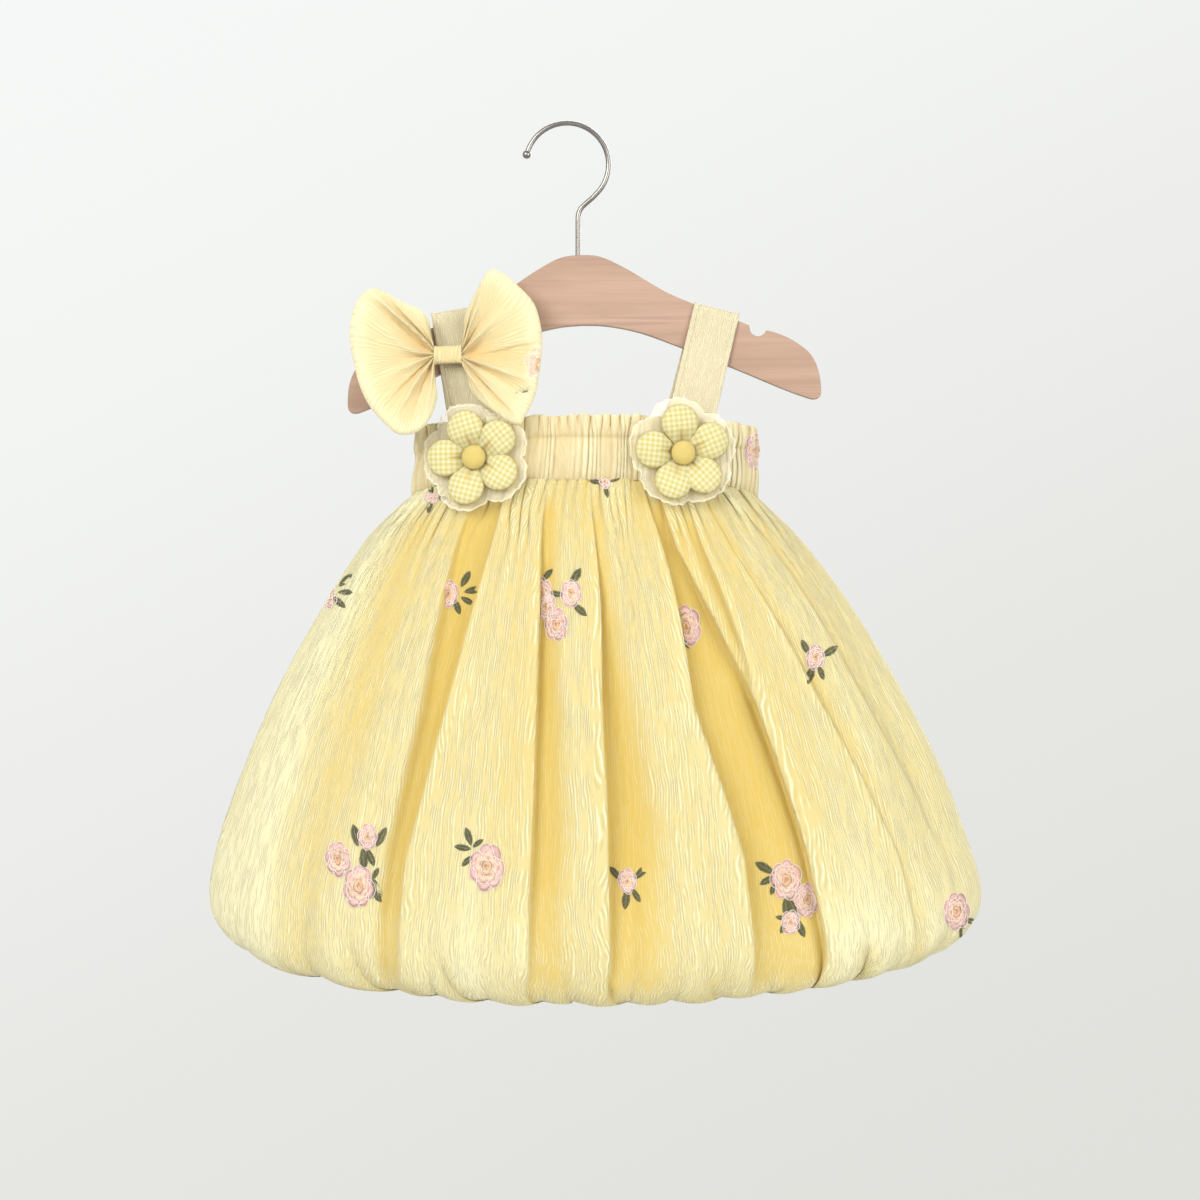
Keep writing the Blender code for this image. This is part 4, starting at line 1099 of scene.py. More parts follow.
def build_threads(name, slot):
    """Join the stitches kept so far into one piece: small raised prisms of three sides."""
    starts, ends, outs, width, tall, dye = (np.concatenate(part) for part in zip(*threads))
    threads.clear()
    along = ends - starts
    side = np.cross(along, outs)
    side = side / np.maximum(np.linalg.norm(side, axis=1, keepdims=True), 1e-9)
    rings = []
    for share, size in ((0.0, 0.45), (0.5, 1.0), (1.0, 0.45)):
        centre = starts + along * share + outs * (tall * (size - 0.45))[:, None]
        for turn in (-30.0, 90.0, 210.0):
            cosine, sine = math.cos(math.radians(turn)), math.sin(math.radians(turn))
            rings.append(centre + side * (width * size * cosine)[:, None]
                         + outs * (tall * size * sine)[:, None])
    corners = np.stack(rings, axis=1)
    faces = []
    for ring in (0, 3):
        for turn in range(3):
            after = (turn + 1) % 3
            faces.append((ring + turn, ring + after, ring + 3 + after, ring + 3 + turn))
    first = np.arange(len(starts))[:, None, None] * 9
    index = (first + np.array(faces)[None]).reshape(-1, 4).tolist()
    index += (first + np.array([(2, 1, 0), (6, 7, 8)])[None]).reshape(-1, 3).tolist()
    mesh = bpy.data.meshes.new(name)
    mesh.from_pydata((corners.reshape(-1, 3) * MM).tolist(), [], index)
    layer = mesh.attributes.new("dye", "FLOAT_COLOR", "POINT")
    shades = np.concatenate((np.repeat(dye, 9, axis=0), np.ones((len(dye) * 9, 1))), axis=1)
    layer.data.foreach_set("color", shades.ravel())
    obj = link_new(name, mesh)
    edit_all(obj, bpy.ops.mesh.normals_make_consistent, inside=False)
    mesh.shade_smooth()
    return dress(obj, name, finish["thread"], slot)


# ---- Flowers ----

Flower = namedtuple("Flower", "name x z petal_angles")
FLOWERS = [
    Flower("flower_left", -56.7, -212.1, (108.0, 38.0, -30.0, 256.0, 181.0)),
    Flower("flower_right", 72.0, -209.3, (96.0, 23.0, -48.0, 249.0, 174.0)),
]
PETAL_FROM = 5.2
PETAL_MIDDLE = 18.9
PETAL_ROUND = 11.6
PETAL_HEIGHT = 9.2
PETAL_SEAT = 0.9
UNDERLAY_R = 34.6
UNDERLAY_SCALLOP = 5.6
UNDERLAY_LOBES = 5
UNDERLAY_GRID = (220, 22)
UNDERLAY_CLOTH = (220.0, 35.0)
UNDERLAY_STANDOFF = 4.0
SKIRT_LIFT = 0.30
SKIRT_LIFT_FROM = 6.0
BUTTON_R = 7.6
BUTTON_TOP = 11.4
BUTTON_RIM = 6.7
WHIP_STITCHES = 50
WHIP_THREAD = 0.26
WHIP_TALL = 0.34
SEAM_STITCH = 1.5
SEAM_THREAD = 0.30
WHIP_DYE = (0.56, 0.40, 0.07)


def flower_place(flower, along_mm, up_mm, height):
    """Points of a flower, lifted below its middle so that it lies on the swelling skirt."""
    section = BAND[3]
    angle = math.asin((flower.x - section.centre) / section.half)
    out = Vector((section.front * math.sin(angle), -section.half * math.cos(angle), 0.0)).normalized()
    origin = Vector((flower.x, -section.front * math.cos(angle), flower.z)) + out * UNDERLAY_STANDOFF
    raised = height + SKIRT_LIFT * np.maximum(0.0, -up_mm - SKIRT_LIFT_FROM)
    x = origin.x - out.y * along_mm + out.x * raised
    y = origin.y + out.x * along_mm + out.y * raised
    return x, y, origin.z + up_mm


def build_underlay(flower, seed):
    """The scalloped organza under the petals: five lobes with a finely waved rim."""
    columns, rows = UNDERLAY_GRID
    angle = np.linspace(0.0, 2.0 * math.pi, columns + 1)[None, :]
    share = np.linspace(0.03, 1.0, rows + 1)[:, None]
    lobe = np.abs(np.cos(UNDERLAY_LOBES / 2.0 * (angle - math.radians(flower.petal_angles[0])))) ** 0.55
    uneven = 1.0 + 0.03 * soft_noise(np.cos(angle) * 2.0 + 9.0, np.sin(angle) * 2.0 + 9.0, seed)
    ripple = soft_noise(np.cos(angle) * 7.0 + 20.0, np.sin(angle) * 7.0 + 20.0, seed + 3)
    rim = 0.45 * np.sin(angle * 31.0 + 2.5 * ripple) + 0.70 * ripple
    reach = ((UNDERLAY_R - UNDERLAY_SCALLOP * (1.0 - lobe)) * uneven + rim * share ** 8) * share
    curl = 1.5 * share ** 2 * (0.5 + 0.5 * np.cos(7.0 * angle + 1.4 * np.sin(angle * 2.0)))
    curl = curl + 0.55 * share ** 4 * np.sin(angle * 23.0 + 3.0 * ripple) + 0.15
    along, up = reach * np.cos(angle), reach * np.sin(angle)
    points = grid_of(*flower_place(flower, along, up, curl))[::-1]
    edge = np.broadcast_to(ease((share - 0.972) / 0.02), points.shape[:2])[::-1]
    cloth = cloth_grid(columns, rows, points, *UNDERLAY_CLOTH, {"edge": edge})
    weld(cloth)
    thicken(cloth, ORGANZA)
    name = flower.name + "_underlay"
    dress(cloth, name + "_cloth", finish["organza"], "organza", name)


def petal_surface(flower, angle, around, rise):
    """Points of a stuffed petal, by the direction from its middle and the rise from its seam."""
    turn = math.radians(angle)
    tangent = math.pi - math.acos(PETAL_ROUND / PETAL_MIDDLE)
    beyond = np.maximum(np.abs(around) - tangent, 0.0)
    side_line = PETAL_ROUND / np.cos(beyond)
    cut = (PETAL_MIDDLE - PETAL_FROM) / np.maximum(-np.cos(around), 0.05)
    outline = np.minimum(side_line, cut)
    spread = outline * np.cos(rise) ** 0.72
    out = spread * np.cos(around)
    width = spread * np.sin(around)
    plump = PETAL_HEIGHT * (0.45 + 0.55 * ease((PETAL_MIDDLE - PETAL_FROM + out) / 11.0))
    seam_pucker = np.exp(-(rise / 0.30) ** 2) * 0.16 * np.sin(around * 30.0)
    inward = ease((-1.0 - out) / 7.0)
    fold_in = inward * ease(rise / 0.5)
    crease = 1.7 * fold_in * np.exp(-((width - 0.06 * out - 0.8) / 0.85) ** 2)
    crease = crease + 0.7 * fold_in * np.exp(-((width + 2.2) / 0.7) ** 2)
    sagged = 0.35 * soft_noise(out / 4.0 + angle, width / 4.0 + 7.0, 131) * np.cos(around / 2.0)
    height = PETAL_SEAT + plump * (0.44 + 0.56 * np.sin(np.maximum(rise, 0.0)) ** 0.9)
    height = height + plump * 0.42 * np.sin(np.minimum(rise, 0.0)) - crease
    height = height + sagged * np.sin(np.maximum(rise, 0.0))
    reach = PETAL_MIDDLE + out + seam_pucker * np.cos(around)
    width = width + seam_pucker * np.sin(around)
    along = reach * math.cos(turn) - width * math.sin(turn)
    upward = reach * math.sin(turn) + width * math.cos(turn)
    return flower_place(flower, along, upward, height), reach, width, np.clip(crease, 0.0, 1.0)


def build_petal(flower, number, angle):
    """One stuffed gingham petal, pinched at its inner end, with whip stitches round its seam."""
    deselect()
    bpy.ops.mesh.primitive_uv_sphere_add(segments=72, ring_count=36, radius=1.0)
    petal = bpy.context.object
    x, y, z = points_of(petal).T
    around, rise = np.arctan2(y, x), np.arcsin(np.clip(z, -1.0, 1.0))
    place, reach, width, crease = petal_surface(flower, angle, around, rise)
    put_points(petal, np.stack(place, axis=1))
    # the crease's depth, painted as shade
    paint(petal, "fold", crease)
    lay_uv(petal, width * 1.1 + 41.0 * number, reach * 1.1)
    petal.data.shade_smooth()
    name = "%s_petal_%d" % (flower.name, number)
    dress(petal, name + "_cotton", finish["gingham"], "gingham", name)

    around = np.linspace(-2.5, 2.5, WHIP_STITCHES)
    ends = []
    for rise, shift in ((-0.10, 0.0), (0.24, 0.045)):
        seam, _, _, _ = petal_surface(flower, angle, around + shift, np.full(len(around), rise))
        ends.append(np.stack(seam, axis=1))
    middle, _, _, _ = petal_surface(flower, angle, np.array(0.0), np.array(-1.2))
    outs = away_from(middle, (ends[0] + ends[1]) / 2.0)
    add_threads(ends[0], ends[1], outs, WHIP_THREAD, WHIP_TALL, WHIP_DYE)
    edge, _, _, _ = petal_surface(flower, angle, np.linspace(-2.6, 2.6, 120), np.full(120, 0.02))
    edge = np.stack(edge, axis=1)
    add_running_stitches(edge, away_from(middle, edge), SEAM_STITCH, 0.0, SEAM_THREAD, WHIP_DYE)


def away_from(middle, points):
    """The direction away from a middle at each of some points."""
    away = points - np.array(middle)
    return away / np.linalg.norm(away, axis=1, keepdims=True)


def build_button(flower):
    """The covered button: cloth pulled over a dome and gathered under its rim, on a shank."""
    deselect()
    bpy.ops.mesh.primitive_uv_sphere_add(segments=72, ring_count=36, radius=1.0)
    dome = bpy.context.object

    def place(x, y, z):
        radius = np.hypot(x, y)
        around = np.arctan2(y, x)
        tucks = 1.0 + 0.012 * np.sin(around * 26.0) * ease((0.35 - z) / 0.5)
        top = BUTTON_RIM + (BUTTON_TOP - BUTTON_RIM) * np.maximum(z, 0.0) ** 0.9
        under = BUTTON_RIM + 1.2 * np.maximum(np.minimum(z, 0.0), -0.8)
        spread = BUTTON_R * np.minimum(radius, 1.0) ** 0.92 * tucks
        return flower_place(flower, spread * np.cos(around), spread * np.sin(around),
                            np.where(z > 0.0, top, under))

    x, y, z = points_of(dome).T
    stretched = 1.0 + 0.25 * (1.0 - z)
    lay_uv(dome, x * BUTTON_R * stretched, y * BUTTON_R * stretched)
    reshape(dome, place)
    dome.data.shade_smooth()
    bpy.ops.mesh.primitive_cylinder_add(vertices=24, radius=1.0, depth=2.0)
    shank = bpy.context.object
    reshape(shank, lambda x, y, z: flower_place(flower, 3.0 * x, 3.0 * y, 3.4 + 2.6 * z))
    button = join_all([dome, shank])
    name = flower.name + "_button"
    dress(button, name + "_cotton", finish["button"], "button_fabric", name)


def build_flowers():
    """Both flowers, each with its underlay, its petals and its button."""
    for number, flower in enumerate(FLOWERS):
        build_underlay(flower, 121 + number)
        for petal, angle in enumerate(flower.petal_angles, 1):
            build_petal(flower, petal, angle)
        build_button(flower)
        build_threads(flower.name + "_stitches", "gingham")


# ---- Bow ----

# The reach of each loop's outer fold from the side of the knot, by the angle of its pleat
Reach = namedtuple("Reach", "angle mm")
LEFT_REACH = [
    Reach(100, 22), Reach(108, 29), Reach(122, 39), Reach(132, 55), Reach(140, 58.5), Reach(154, 57),
    Reach(182, 50.8), Reach(200, 50.2), Reach(218, 51.6), Reach(234, 53), Reach(247, 55),
    Reach(260, 49), Reach(268, 38), Reach(274, 27),
]
RIGHT_REACH = [
    Reach(84, 24), Reach(79, 34), Reach(75, 45), Reach(71, 56), Reach(62, 57), Reach(52, 55.8),
    Reach(35, 55.6), Reach(19, 52.9), Reach(0, 50.6), Reach(-15, 50.7), Reach(-29, 53.3),
    Reach(-43, 56), Reach(-51, 57.5), Reach(-60, 42), Reach(-68, 31), Reach(-74, 24),
]
KNOT_X = -75.2
KNOT_Y = -14.05
KNOT_Z = -146.8
KNOT_WIDTH = 17.0
KNOT_TALL = 12.0
KNOT_DEEP = 9.0
KNOT_WALL = 0.6
KNOT_SQUARENESS = 0.62
KNOT_GRID = (48, 72)
BOW_GRID = (150, 70)
BOW_CLOTH = (150.0, 110.0)
BOW_LEAN = 8.0
BOW_SWEEP = 12.0
BOW_PLEATS = 6
BOW_PLEAT_HEIGHT = 3.6
BOW_HALF_DEPTH = 6.4
BOW_PINCH = 10.0
BOW_TUCKED_IN = 3.0
BOW_END_DEPTH = 0.55
BOW_FULL_REACH = 50.0
# One loop seen from its end: how far out and how far from its middle plane the cloth runs
Loop = namedtuple("Loop", "out depth")
BOW_LOOP = [
    Loop(0.0, 0.40), Loop(0.0, 0.44), Loop(0.28, 0.80), Loop(0.58, 1.0), Loop(0.86, 0.75),
    Loop(1.0, 0.0),
    Loop(0.86, -0.75), Loop(0.58, -1.0), Loop(0.28, -0.80), Loop(0.0, -0.44), Loop(0.0, -0.40),
]


def bow_points(reaches, side, seed):
    """One loop of the bow: pleats run out from the knot and die away towards the outer fold."""
    columns, rows = BOW_GRID
    share = np.linspace(0.0, 1.0, columns + 1)[None, :]
    places = np.linspace(0.0, len(BOW_LOOP) - 1.0, rows + 1)[:, None]
    out = np.clip(curve_through([loop.out for loop in BOW_LOOP], places), 0.0, 1.0)
    depth = curve_through([loop.depth for loop in BOW_LOOP], places)
    tuck = np.clip(1.0 - np.minimum(places, len(BOW_LOOP) - 1.0 - places), 0.0, 1.0)
    stops = np.linspace(0.0, len(reaches) - 1.0, columns + 1)[None, :]
    angle = curve_through([reach.angle for reach in reaches], stops)
    reach = curve_through([reach.mm for reach in reaches], stops)
    turn = np.radians(angle)
    start_x, start_z = side * 0.45 - side * BOW_TUCKED_IN * tuck, BOW_PINCH * (0.5 - share)
    x = start_x + (reach * np.cos(turn) - side * 0.45) * out
    z = start_z + (reach * np.sin(turn) - start_z) * out
    flatter = BOW_END_DEPTH + (1.0 - BOW_END_DEPTH) * np.sin(math.pi * share)
    flatter = 1.0 + (flatter - 1.0) * ease(out / 0.25)
    leaf = np.where(depth > 0.0, 0.0, 40.0)
    wander = 0.40 * soft_noise(share * 5.0 + leaf, out * 1.3, seed)
    phase = share * BOW_PLEATS + 0.5 + wander
    wave = 1.0 - 2.0 * np.abs(np.sin(math.pi * phase)) ** 0.62
    number = np.floor(phase + 0.5) + leaf
    lasts = 0.95 + 0.22 * np.sin(number * 2.7 + seed)
    size = 0.8 + 0.3 * np.sin(number * 1.9 + seed * 2.0)
    dying = ease(out / 0.14) * ease((lasts - out) / 0.75) + 0.45 * (1.0 - ease(out / 0.2))
    pleat = BOW_PLEAT_HEIGHT * size * wave * dying * np.sin(math.pi * share) ** 0.5
    ruck = 0.22 * soft_noise(share * 26.0 + leaf, out * 3.0, seed + 2) * ease(out / 0.2)
    ruck = ruck * ease((1.0 - out) / 0.1) + 0.45 * hump((out - 0.915) / 0.07) * np.sign(depth)
    sweep = BOW_SWEEP * out * reach / BOW_FULL_REACH
    # the front leaf's crests rise forward and the back leaf's rise backward
    lifted = np.where(depth > 0.0, -1.0, 1.0) * (pleat + ruck) * ease(np.abs(depth) / 0.3)
    y = KNOT_Y - sweep - depth * BOW_HALF_DEPTH * flatter + lifted + math.tan(math.radians(BOW_LEAN)) * z
    x = KNOT_X + side * KNOT_WIDTH / 2.0 + x
    points = grid_of(x, y, KNOT_Z + z)
    # painted shade in the pleats' valleys, more golden near the knot, and paler at the outer fold where
    # painted light shines through
    shade = (0.30 - 0.5 * wave) * np.clip(dying * size, 0.0, 1.0) * 0.9 + 0.22 * (1.0 - ease(out / 0.5))
    return points, np.clip(shade, 0.0, 1.0) + PLAIN - 0.30 * ease((out - 0.72) / 0.25)


def build_bow():
    """The bow's two loops and the band wrapped round its middle."""
    for name, reaches, side in (("bow_loop_left", LEFT_REACH, -1), ("bow_loop_right", RIGHT_REACH, 1)):
        points, shade = bow_points(reaches, side, 141 + side)
        if side > 0:
            points, shade = points[:, ::-1], shade[:, ::-1]
            surfaces["bow", FRONT] = surface_of(points)
        loop = cloth_grid(*BOW_GRID, points[:, ::-1], *BOW_CLOTH, {"fold": shade[:, ::-1]})
        thicken(loop, CHIFFON)
        dress(loop, name + "_cloth", finish["bow"], "chiffon", name)
    build_knot()


def build_knot():
    """The band round the bow's middle, ribbed along its length and flared at its edges."""
    columns, rows = KNOT_GRID
    across = np.linspace(-1.0, 1.0, columns + 1)[None, :]
    turn = np.linspace(0.0, 2.0 * math.pi, rows + 1)[:, None]
    ribs = 0.09 * np.sin(across * math.pi * 11.0 + 1.2 * np.sin(turn * 2.0))
    ribs = ribs + 0.12 * soft_noise(across * 9.0, np.cos(turn) * 1.5 + 4.0, 151)
    flare = 0.7 * np.abs(across) ** 5 - 0.3 * hump((np.abs(across) - 0.72) / 0.2)
    cosine = np.sign(np.cos(turn)) * np.abs(np.cos(turn)) ** KNOT_SQUARENESS
    sine = np.sign(np.sin(turn)) * np.abs(np.sin(turn)) ** KNOT_SQUARENESS
    tall = (KNOT_TALL - KNOT_WALL) / 2.0 + flare + ribs
    deep = (KNOT_DEEP - KNOT_WALL) / 2.0 + flare * 0.6 + ribs
    x = KNOT_X + across * KNOT_WIDTH / 2.0 * (1.0 - 0.02 * np.cos(turn * 2.0))
    y = KNOT_Y - deep * sine
    z = KNOT_Z + tall * cosine + 0.045 * across * KNOT_WIDTH / 2.0
    points = grid_of(x, y, z)
    # painted shade in the hollows between the ribs and just inside the flared edges, lighter on the flare
    shade = np.clip(0.30 - 0.9 * (ribs + flare * 0.3), 0.0, 1.0) + PLAIN
    knot = cloth_grid(columns, rows, points, KNOT_WIDTH, 42.0, {"fold": shade})
    weld(knot)
    thicken(knot, KNOT_WALL)
    dress(knot, "bow_knot_cloth", finish["bow"], "chiffon", "bow_knot")


# ---- Embroidery ----

PINK = (0.80, 0.53, 0.50)
PALE_PINK = (0.97, 0.85, 0.81)
PEACH = (0.84, 0.61, 0.46)
APRICOT = (0.82, 0.52, 0.34)
OLIVE = (0.130, 0.126, 0.054)
SAGE = (0.26, 0.275, 0.16)
THREAD_R = 0.36
THREAD_TALL = 0.34
THREAD_STEP = 0.60
STEEPEST = 1.3
# A stitch this far above the cloth at its motif's middle is on a fold's lip, which covers it
LIP_COVERS = 2.6
# A motif's parts: roses and leaves by their place, size and turn in degrees
Bloom = namedtuple("Bloom", "x z size")
Leaf = namedtuple("Leaf", "x z size turn")
SPRAY = [
    Leaf(0.5, 9.5, 14.5, 103.0), Leaf(12.0, 9.5, 14.0, 63.0), Leaf(3.5, 9.0, 14.0, -86.0),
    Leaf(6.0, 8.5, 12.0, -66.0), Leaf(9.5, -11.0, 9.0, 62.0), Leaf(10.5, -10.0, 15.0, -76.0),
    Leaf(9.5, -18.0, 9.0, -48.0), Bloom(6.5, 15.5, 6.8), Bloom(-12.0, 1.5, 9.2), Bloom(1.0, -15.0, 11.3),
]
FULL_ROSE = [
    Leaf(-6.0, 10.0, 12.0, 108.0), Leaf(-6.0, 8.0, 11.0, 172.0), Leaf(-5.5, 9.0, 8.5, 36.0),
    Leaf(-5.5, 4.0, 9.5, 226.0), Bloom(3.5, -3.5, 12.5),
]
BUD = [
    Leaf(-4.0, 1.5, 11.0, 125.0), Leaf(4.0, 1.5, 12.5, 40.0), Leaf(-0.5, -4.0, 13.0, -100.0),
    Leaf(2.5, -4.0, 10.0, -62.0), Bloom(0.0, 0.5, 6.6),
]
TALL_SPRAY = [
    Leaf(-14.0, 12.0, 12.0, 105.0), Leaf(-12.0, 10.0, 10.0, 50.0), Leaf(5.0, 6.0, 14.0, 60.0),
    Leaf(2.0, 1.0, 11.0, 172.0), Leaf(7.0, -4.0, 12.0, -42.0), Bloom(-12.5, 2.0, 8.5),
    Bloom(-10.0, -6.0, 7.5), Bloom(-3.0, -17.5, 8.5), Bloom(6.0, 2.0, 7.5),
]
LOW_SPRAY = [
    Leaf(-5.0, 7.0, 14.5, 150.0), Leaf(-5.0, 5.5, 11.0, 208.0), Leaf(-4.0, 3.0, 10.0, 248.0),
    Leaf(1.0, -8.0, 14.0, -82.0), Leaf(3.0, -8.0, 13.0, -62.0), Leaf(2.0, -22.0, 9.0, 245.0),
    Leaf(3.0, -21.0, 8.0, 170.0), Leaf(8.0, -20.5, 13.0, -66.0), Bloom(2.0, 3.0, 11.0),
    Bloom(15.0, -9.5, 8.8), Bloom(4.5, -23.0, 6.4),
]
ROSE_AND_LEAF = [Leaf(3.0, -8.0, 13.0, -75.0), Leaf(5.0, -5.0, 10.0, -20.0), Bloom(0.0, 0.0, 10.0)]
HALF_ROSE = [Leaf(-7.0, -3.0, 14.0, -88.0), Bloom(-6.5, 5.0, 11.0)]
LEAVES = [
    Leaf(3.0, 3.0, 12.0, 60.0), Leaf(5.0, 0.0, 12.0, 12.0), Leaf(-1.0, -4.0, 11.0, -70.0),
    Leaf(3.0, -3.0, 10.0, -30.0), Bloom(-5.0, -1.0, 7.5),
]
TUCKED_BUD = [
    Leaf(-1.0, 1.0, 9.0, 172.0), Leaf(1.0, 2.0, 9.0, 12.0), Leaf(0.0, -1.0, 8.0, -75.0),
    Bloom(0.0, 1.5, 4.0),
]
BOW_ROSE = [Bloom(0.0, 6.0, 10.0), Leaf(-3.0, -8.0, 13.0, 200.0), Leaf(0.0, -7.0, 10.0, 80.0)]
# Where each motif is worked: on which cloth and side, its middle and its turn in degrees
Motif = namedtuple("Motif", "parts x z turn")
WORKED = {
    ("skirt", FRONT): [
        Motif(LEAVES, -69.5, -297.0, 0.0), Motif(TALL_SPRAY, -3.0, -300.0, 0.0),
        Motif(HALF_ROSE, 81.0, -324.0, 0.0), Motif(BUD, 156.0, -338.5, -8.0),
        Motif(SPRAY, -130.0, -465.0, 0.0), Motif(FULL_ROSE, -52.5, -464.0, 0.0),
        Motif(BUD, 38.0, -477.0, 4.0), Motif(LOW_SPRAY, 135.0, -479.5, 0.0),
        Motif(ROSE_AND_LEAF, 245.0, -498.0, 0.0), Motif(TUCKED_BUD, 24.0, -229.0, 0.0),
        Motif(TUCKED_BUD, -84.0, -238.0, 80.0), Motif(LEAVES, -149.0, -296.0, 30.0),
    ],
    ("skirt", BACK): [
        Motif(BUD, -60.0, -300.0, 12.0), Motif(TALL_SPRAY, 52.0, -312.0, -14.0),
        Motif(ROSE_AND_LEAF, 118.0, -352.0, 30.0), Motif(LEAVES, -120.0, -350.0, -20.0),
        Motif(SPRAY, 158.0, -474.0, -10.0), Motif(FULL_ROSE, 70.0, -462.0, 8.0),
        Motif(BUD, -18.0, -478.0, 0.0), Motif(SPRAY, -112.0, -470.0, 24.0),
        Motif(ROSE_AND_LEAF, -188.0, -470.0, 0.0),
    ],
    ("band", FRONT): [Motif(ROSE_AND_LEAF, 121.0, -208.0, 10.0)],
    ("bow", FRONT): [Motif(BOW_ROSE, -18.0, -160.0, 0.0)],
}

# A rose's rings of petals, outermost first, in shares of its size: how far out the petals sit and how
# big they are, how many, their colour and how far they are raised
Ring = namedtuple("Ring", "away reach count dye rise")
ROSE = [
    Ring(0.60, 0.42, 7, PINK, 0.00), Ring(0.34, 0.40, 5, PEACH, 0.20), Ring(0.08, 0.30, 3, APRICOT, 0.40),
]
ROSE_WIDE = 0.90
ROSE_TALL = 1.20
PETAL_FAN = 1.75
RIM_STITCH = 1.0


def stitch_rose(bloom, random):
    """A cabbage rose in satin stitch, its petals edged in pale thread: starts, ends, rise and dyes."""
    rows = []
    first = random.uniform(0.0, 2.0 * math.pi)

    def place(away, turn, reach, swing):
        x = away * math.cos(turn) + reach * math.cos(turn + swing)
        z = away * math.sin(turn) + reach * math.sin(turn + swing)
        return (bloom.x + bloom.size * ROSE_WIDE * x, bloom.z + bloom.size * ROSE_TALL * z)

    for ring in ROSE:
        first = first + math.pi / ring.count
        for petal in range(ring.count):
            turn = first + 2.0 * math.pi * petal / ring.count + random.uniform(-0.15, 0.15)
            reach = ring.reach * random.uniform(0.88, 1.12)
            shade = random.uniform(0.86, 1.06)
            rim = 2.0 * PETAL_FAN * reach * bloom.size
            rise = ring.rise + 0.08 * (petal % 2)
            fan = max(5, int(rim / THREAD_STEP))
            for i in range(fan):
                swing = PETAL_FAN * (2.0 * (i + random.uniform(-0.2, 0.2)) / (fan - 1) - 1.0)
                dye = [min(1.0, part * shade * random.uniform(0.93, 1.06)) for part in ring.dye]
                rows.append((place(ring.away, turn, reach * 0.12, swing),
                             place(ring.away, turn, reach * 0.96, swing), rise, dye))
            edging = max(4, int(rim / RIM_STITCH))
            for i in range(edging):
                swing = PETAL_FAN * (2.0 * i / edging - 1.0)
                beyond = PETAL_FAN * (2.0 * (i + 1.25) / edging - 1.0)
                rows.append((place(ring.away, turn, reach, swing), place(ring.away, turn, reach, beyond),
                             rise + 0.26, PALE_PINK))
    return rows


def stitch_leaf(leaf, random):
    """A leaf in slanted satin stitch on both sides of a lighter rib."""
    turn = math.radians(leaf.turn)
    rows = []
    count = int(leaf.size / THREAD_STEP)

    def place(along, aside):
        return (leaf.x + along * math.cos(turn) - aside * math.sin(turn),
                leaf.z + along * math.sin(turn) + aside * math.cos(turn))

    for i in range(1, count):
        share = i / count
        width = leaf.size * 0.62 * share ** 0.65 * (1.0 - share) ** 1.05
        for side in (-1.0, 1.0):
            along = leaf.size * share
            end = place(along + width * 0.8, side * width * random.uniform(0.9, 1.08))
            shade = random.uniform(0.75, 1.35)
            rows.append((place(along, 0.0), end, 0.0, [part * shade for part in OLIVE]))
    for i in range(5):
        rows.append((place(leaf.size * i / 5.2, 0.0), place(leaf.size * (i + 1) / 5.2, 0.0), 0.22, SAGE))
    return rows


def work_motif(motif, surface, side, random):
    """Work a motif's stitches onto a cloth, leaving out what a fold hides."""
    turn = math.radians(motif.turn)
    rows = []
    for part in motif.parts:
        rows += stitch_rose(part, random) if isinstance(part, Bloom) else stitch_leaf(part, random)
    onward = Vector((0.0, -float(side), 0.0))

    def on_cloth(across, up):
        x = motif.x + (across * math.cos(turn) - up * math.sin(turn)) * -side
        z = motif.z + across * math.sin(turn) + up * math.cos(turn)
        return surface.ray_cast(Vector((x, side * 200.0, z)), onward)[:2]

    middle, upright = on_cloth(0.0, 0.0)
    if middle is not None and upright.y * side < 0.0:
        upright = -upright
    kept = []
    for start, end, rise, dye in rows:
        first, out = on_cloth(*start)
        last, _ = on_cloth(*end)
        if first is None or last is None:
            continue
        if abs(first.y - last.y) > 0.6 + STEEPEST * math.hypot(first.x - last.x, first.z - last.z):
            continue
        if middle is not None and (first - middle).dot(upright) > LIP_COVERS:
            continue
        if out.y * side < 0.0:
            out = -out
        kept.append((first + out * (rise + 0.05), last + out * (rise + 0.05), out, dye))
    if kept:
        starts, ends, outs, dyes = zip(*kept)
        add_threads(starts, ends, outs, THREAD_R, THREAD_TALL, np.array(dyes))


def build_embroidery():
    """Sprays of roses and leaves over the skirt, with one on the bow and one on the waistband."""
    for (cloth, side), motifs in WORKED.items():
        random = np.random.RandomState(len(motifs) + 40)
        for motif in motifs:
            work_motif(motif, surfaces[cloth, side], side, random)
        end = "front" if side == FRONT else "back"
        build_threads("%s_%s_embroidery" % (cloth, end), "chiffon")


# ---- Stage ----

# Soft square lights: their place, their size in metres, their watts and their tint
Light = namedtuple("Light", "name place size power tint")
LIGHTS = [
    Light("key", (-1500.0, -2000.0, 900.0), 1.6, 61.0, (1.0, 0.985, 0.96)),
    Light("fill", (1700.0, -1700.0, 100.0), 1.8, 37.0, (1.0, 0.98, 0.95)),
    Light("rim", (500.0, 1900.0, 700.0), 1.6, 40.0, (1.0, 0.99, 0.97)),
]
LIT_MIDDLE = (20.0, 0.0, -330.0)
STUDIO_TINT = colour(1.0, 0.995, 0.98)
STUDIO_GLOW = 0.66
WALL_TONES = (colour(0.755, 0.755, 0.72), colour(0.925, 0.94, 0.93))
FLOOR_TONES = (colour(0.70, 0.70, 0.69), colour(0.74, 0.74, 0.73))


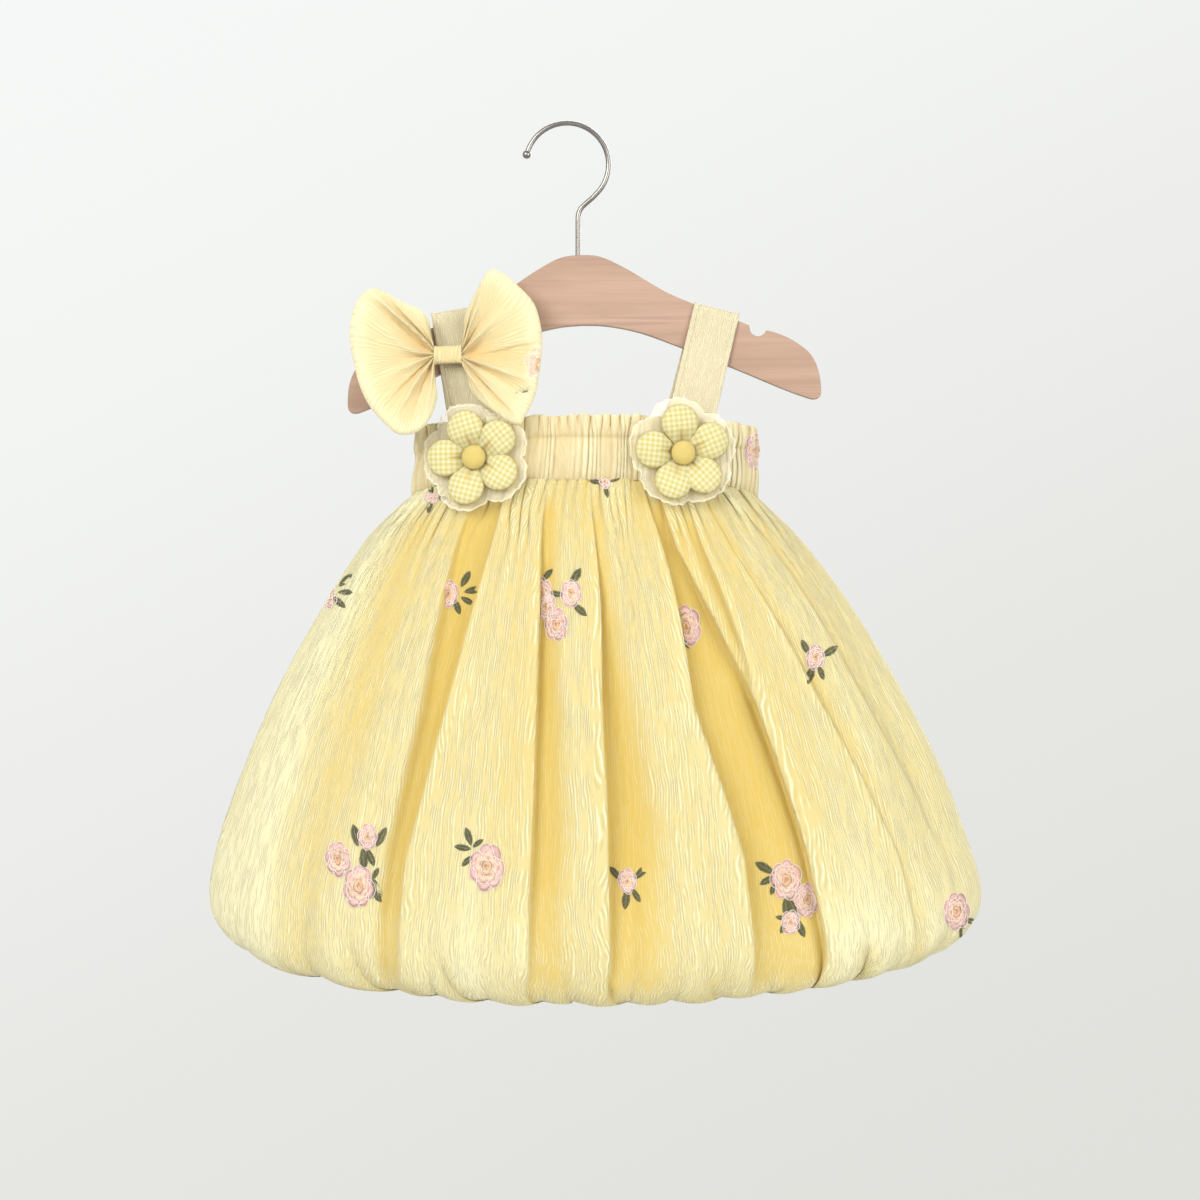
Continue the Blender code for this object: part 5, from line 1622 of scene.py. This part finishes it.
def add_light(light):
    """Hang one of the soft lights and turn it to the dress."""
    lamp = bpy.data.lights.new(light.name, "AREA")
    lamp.size = light.size
    lamp.energy = light.power
    lamp.color = light.tint
    obj = link_new(light.name, lamp)
    obj.location = Vector(light.place) * MM
    aim = (Vector(LIT_MIDDLE) - Vector(light.place)).to_track_quat("-Z", "Y")
    obj.rotation_euler = aim.to_euler()


def set_stage():
    """The camera, the soft light, a plain pale background and a plain pale floor below."""
    scene = bpy.context.scene
    scene.view_settings.view_transform = "Standard"
    camera = bpy.data.cameras.new("camera")
    camera.lens = CAMERA_LENS
    camera.sensor_width = 36.0
    held = link_new("camera", camera)
    held.location = Vector((CAMERA_X, -CAMERA_AWAY, CAMERA_Z)) * MM
    held.rotation_euler = (math.radians(90.0), 0.0, 0.0)
    scene.camera = held

    for light in LIGHTS:
        add_light(light)

    world = bpy.data.worlds.new("studio")
    scene.world = world
    world.use_nodes = True
    nodes = Nodes(world.node_tree)
    glow = world.node_tree.nodes["Background"]
    glow.inputs["Color"].default_value = STUDIO_TINT
    glow.inputs["Strength"].default_value = STUDIO_GLOW
    # the wall behind is a little darker to the right and further down
    looked = nodes.add("SeparateXYZ", Vector=nodes.add("TexCoord").outputs["Generated"])
    slope = nodes.maths("SUBTRACT", looked.outputs[2], nodes.times(looked.outputs[0], 0.5))
    tone = nodes.mix(nodes.ramp(slope, -0.22, 0.24), *WALL_TONES)
    wall = nodes.add("Background", Color=tone, Strength=1.0)
    seen = nodes.add("LightPath").outputs["Is Camera Ray"]
    both = nodes.add("MixShader", i0=seen, i1=glow.outputs[0], i2=wall.outputs[0])
    nodes.set(world.node_tree.nodes["World Output"].inputs["Surface"], both.outputs[0])

    deselect()
    bpy.ops.mesh.primitive_circle_add(vertices=96, radius=0.36, fill_type="NGON",
                                      location=(0.02, 0.0, -0.75))
    floor = bpy.context.object
    floor.name = "floor"
    pale, nodes, shader = start_material("pale_floor", 0.9)
    place = nodes.add("TexCoord").outputs["Object"]
    cloud = nodes.noise(place, 6.0, 2.0)
    nodes.set(shader.inputs["Base Color"], nodes.mix(cloud, *FLOOR_TONES))
    floor.data.materials.append(pale)


set_stage()
finish = make_finishes()
surfaces = build_panels()
build_board()
build_hook()
build_straps()
build_threads("strap_stitches", "strap_cotton")
build_flowers()
build_bow()
build_embroidery()
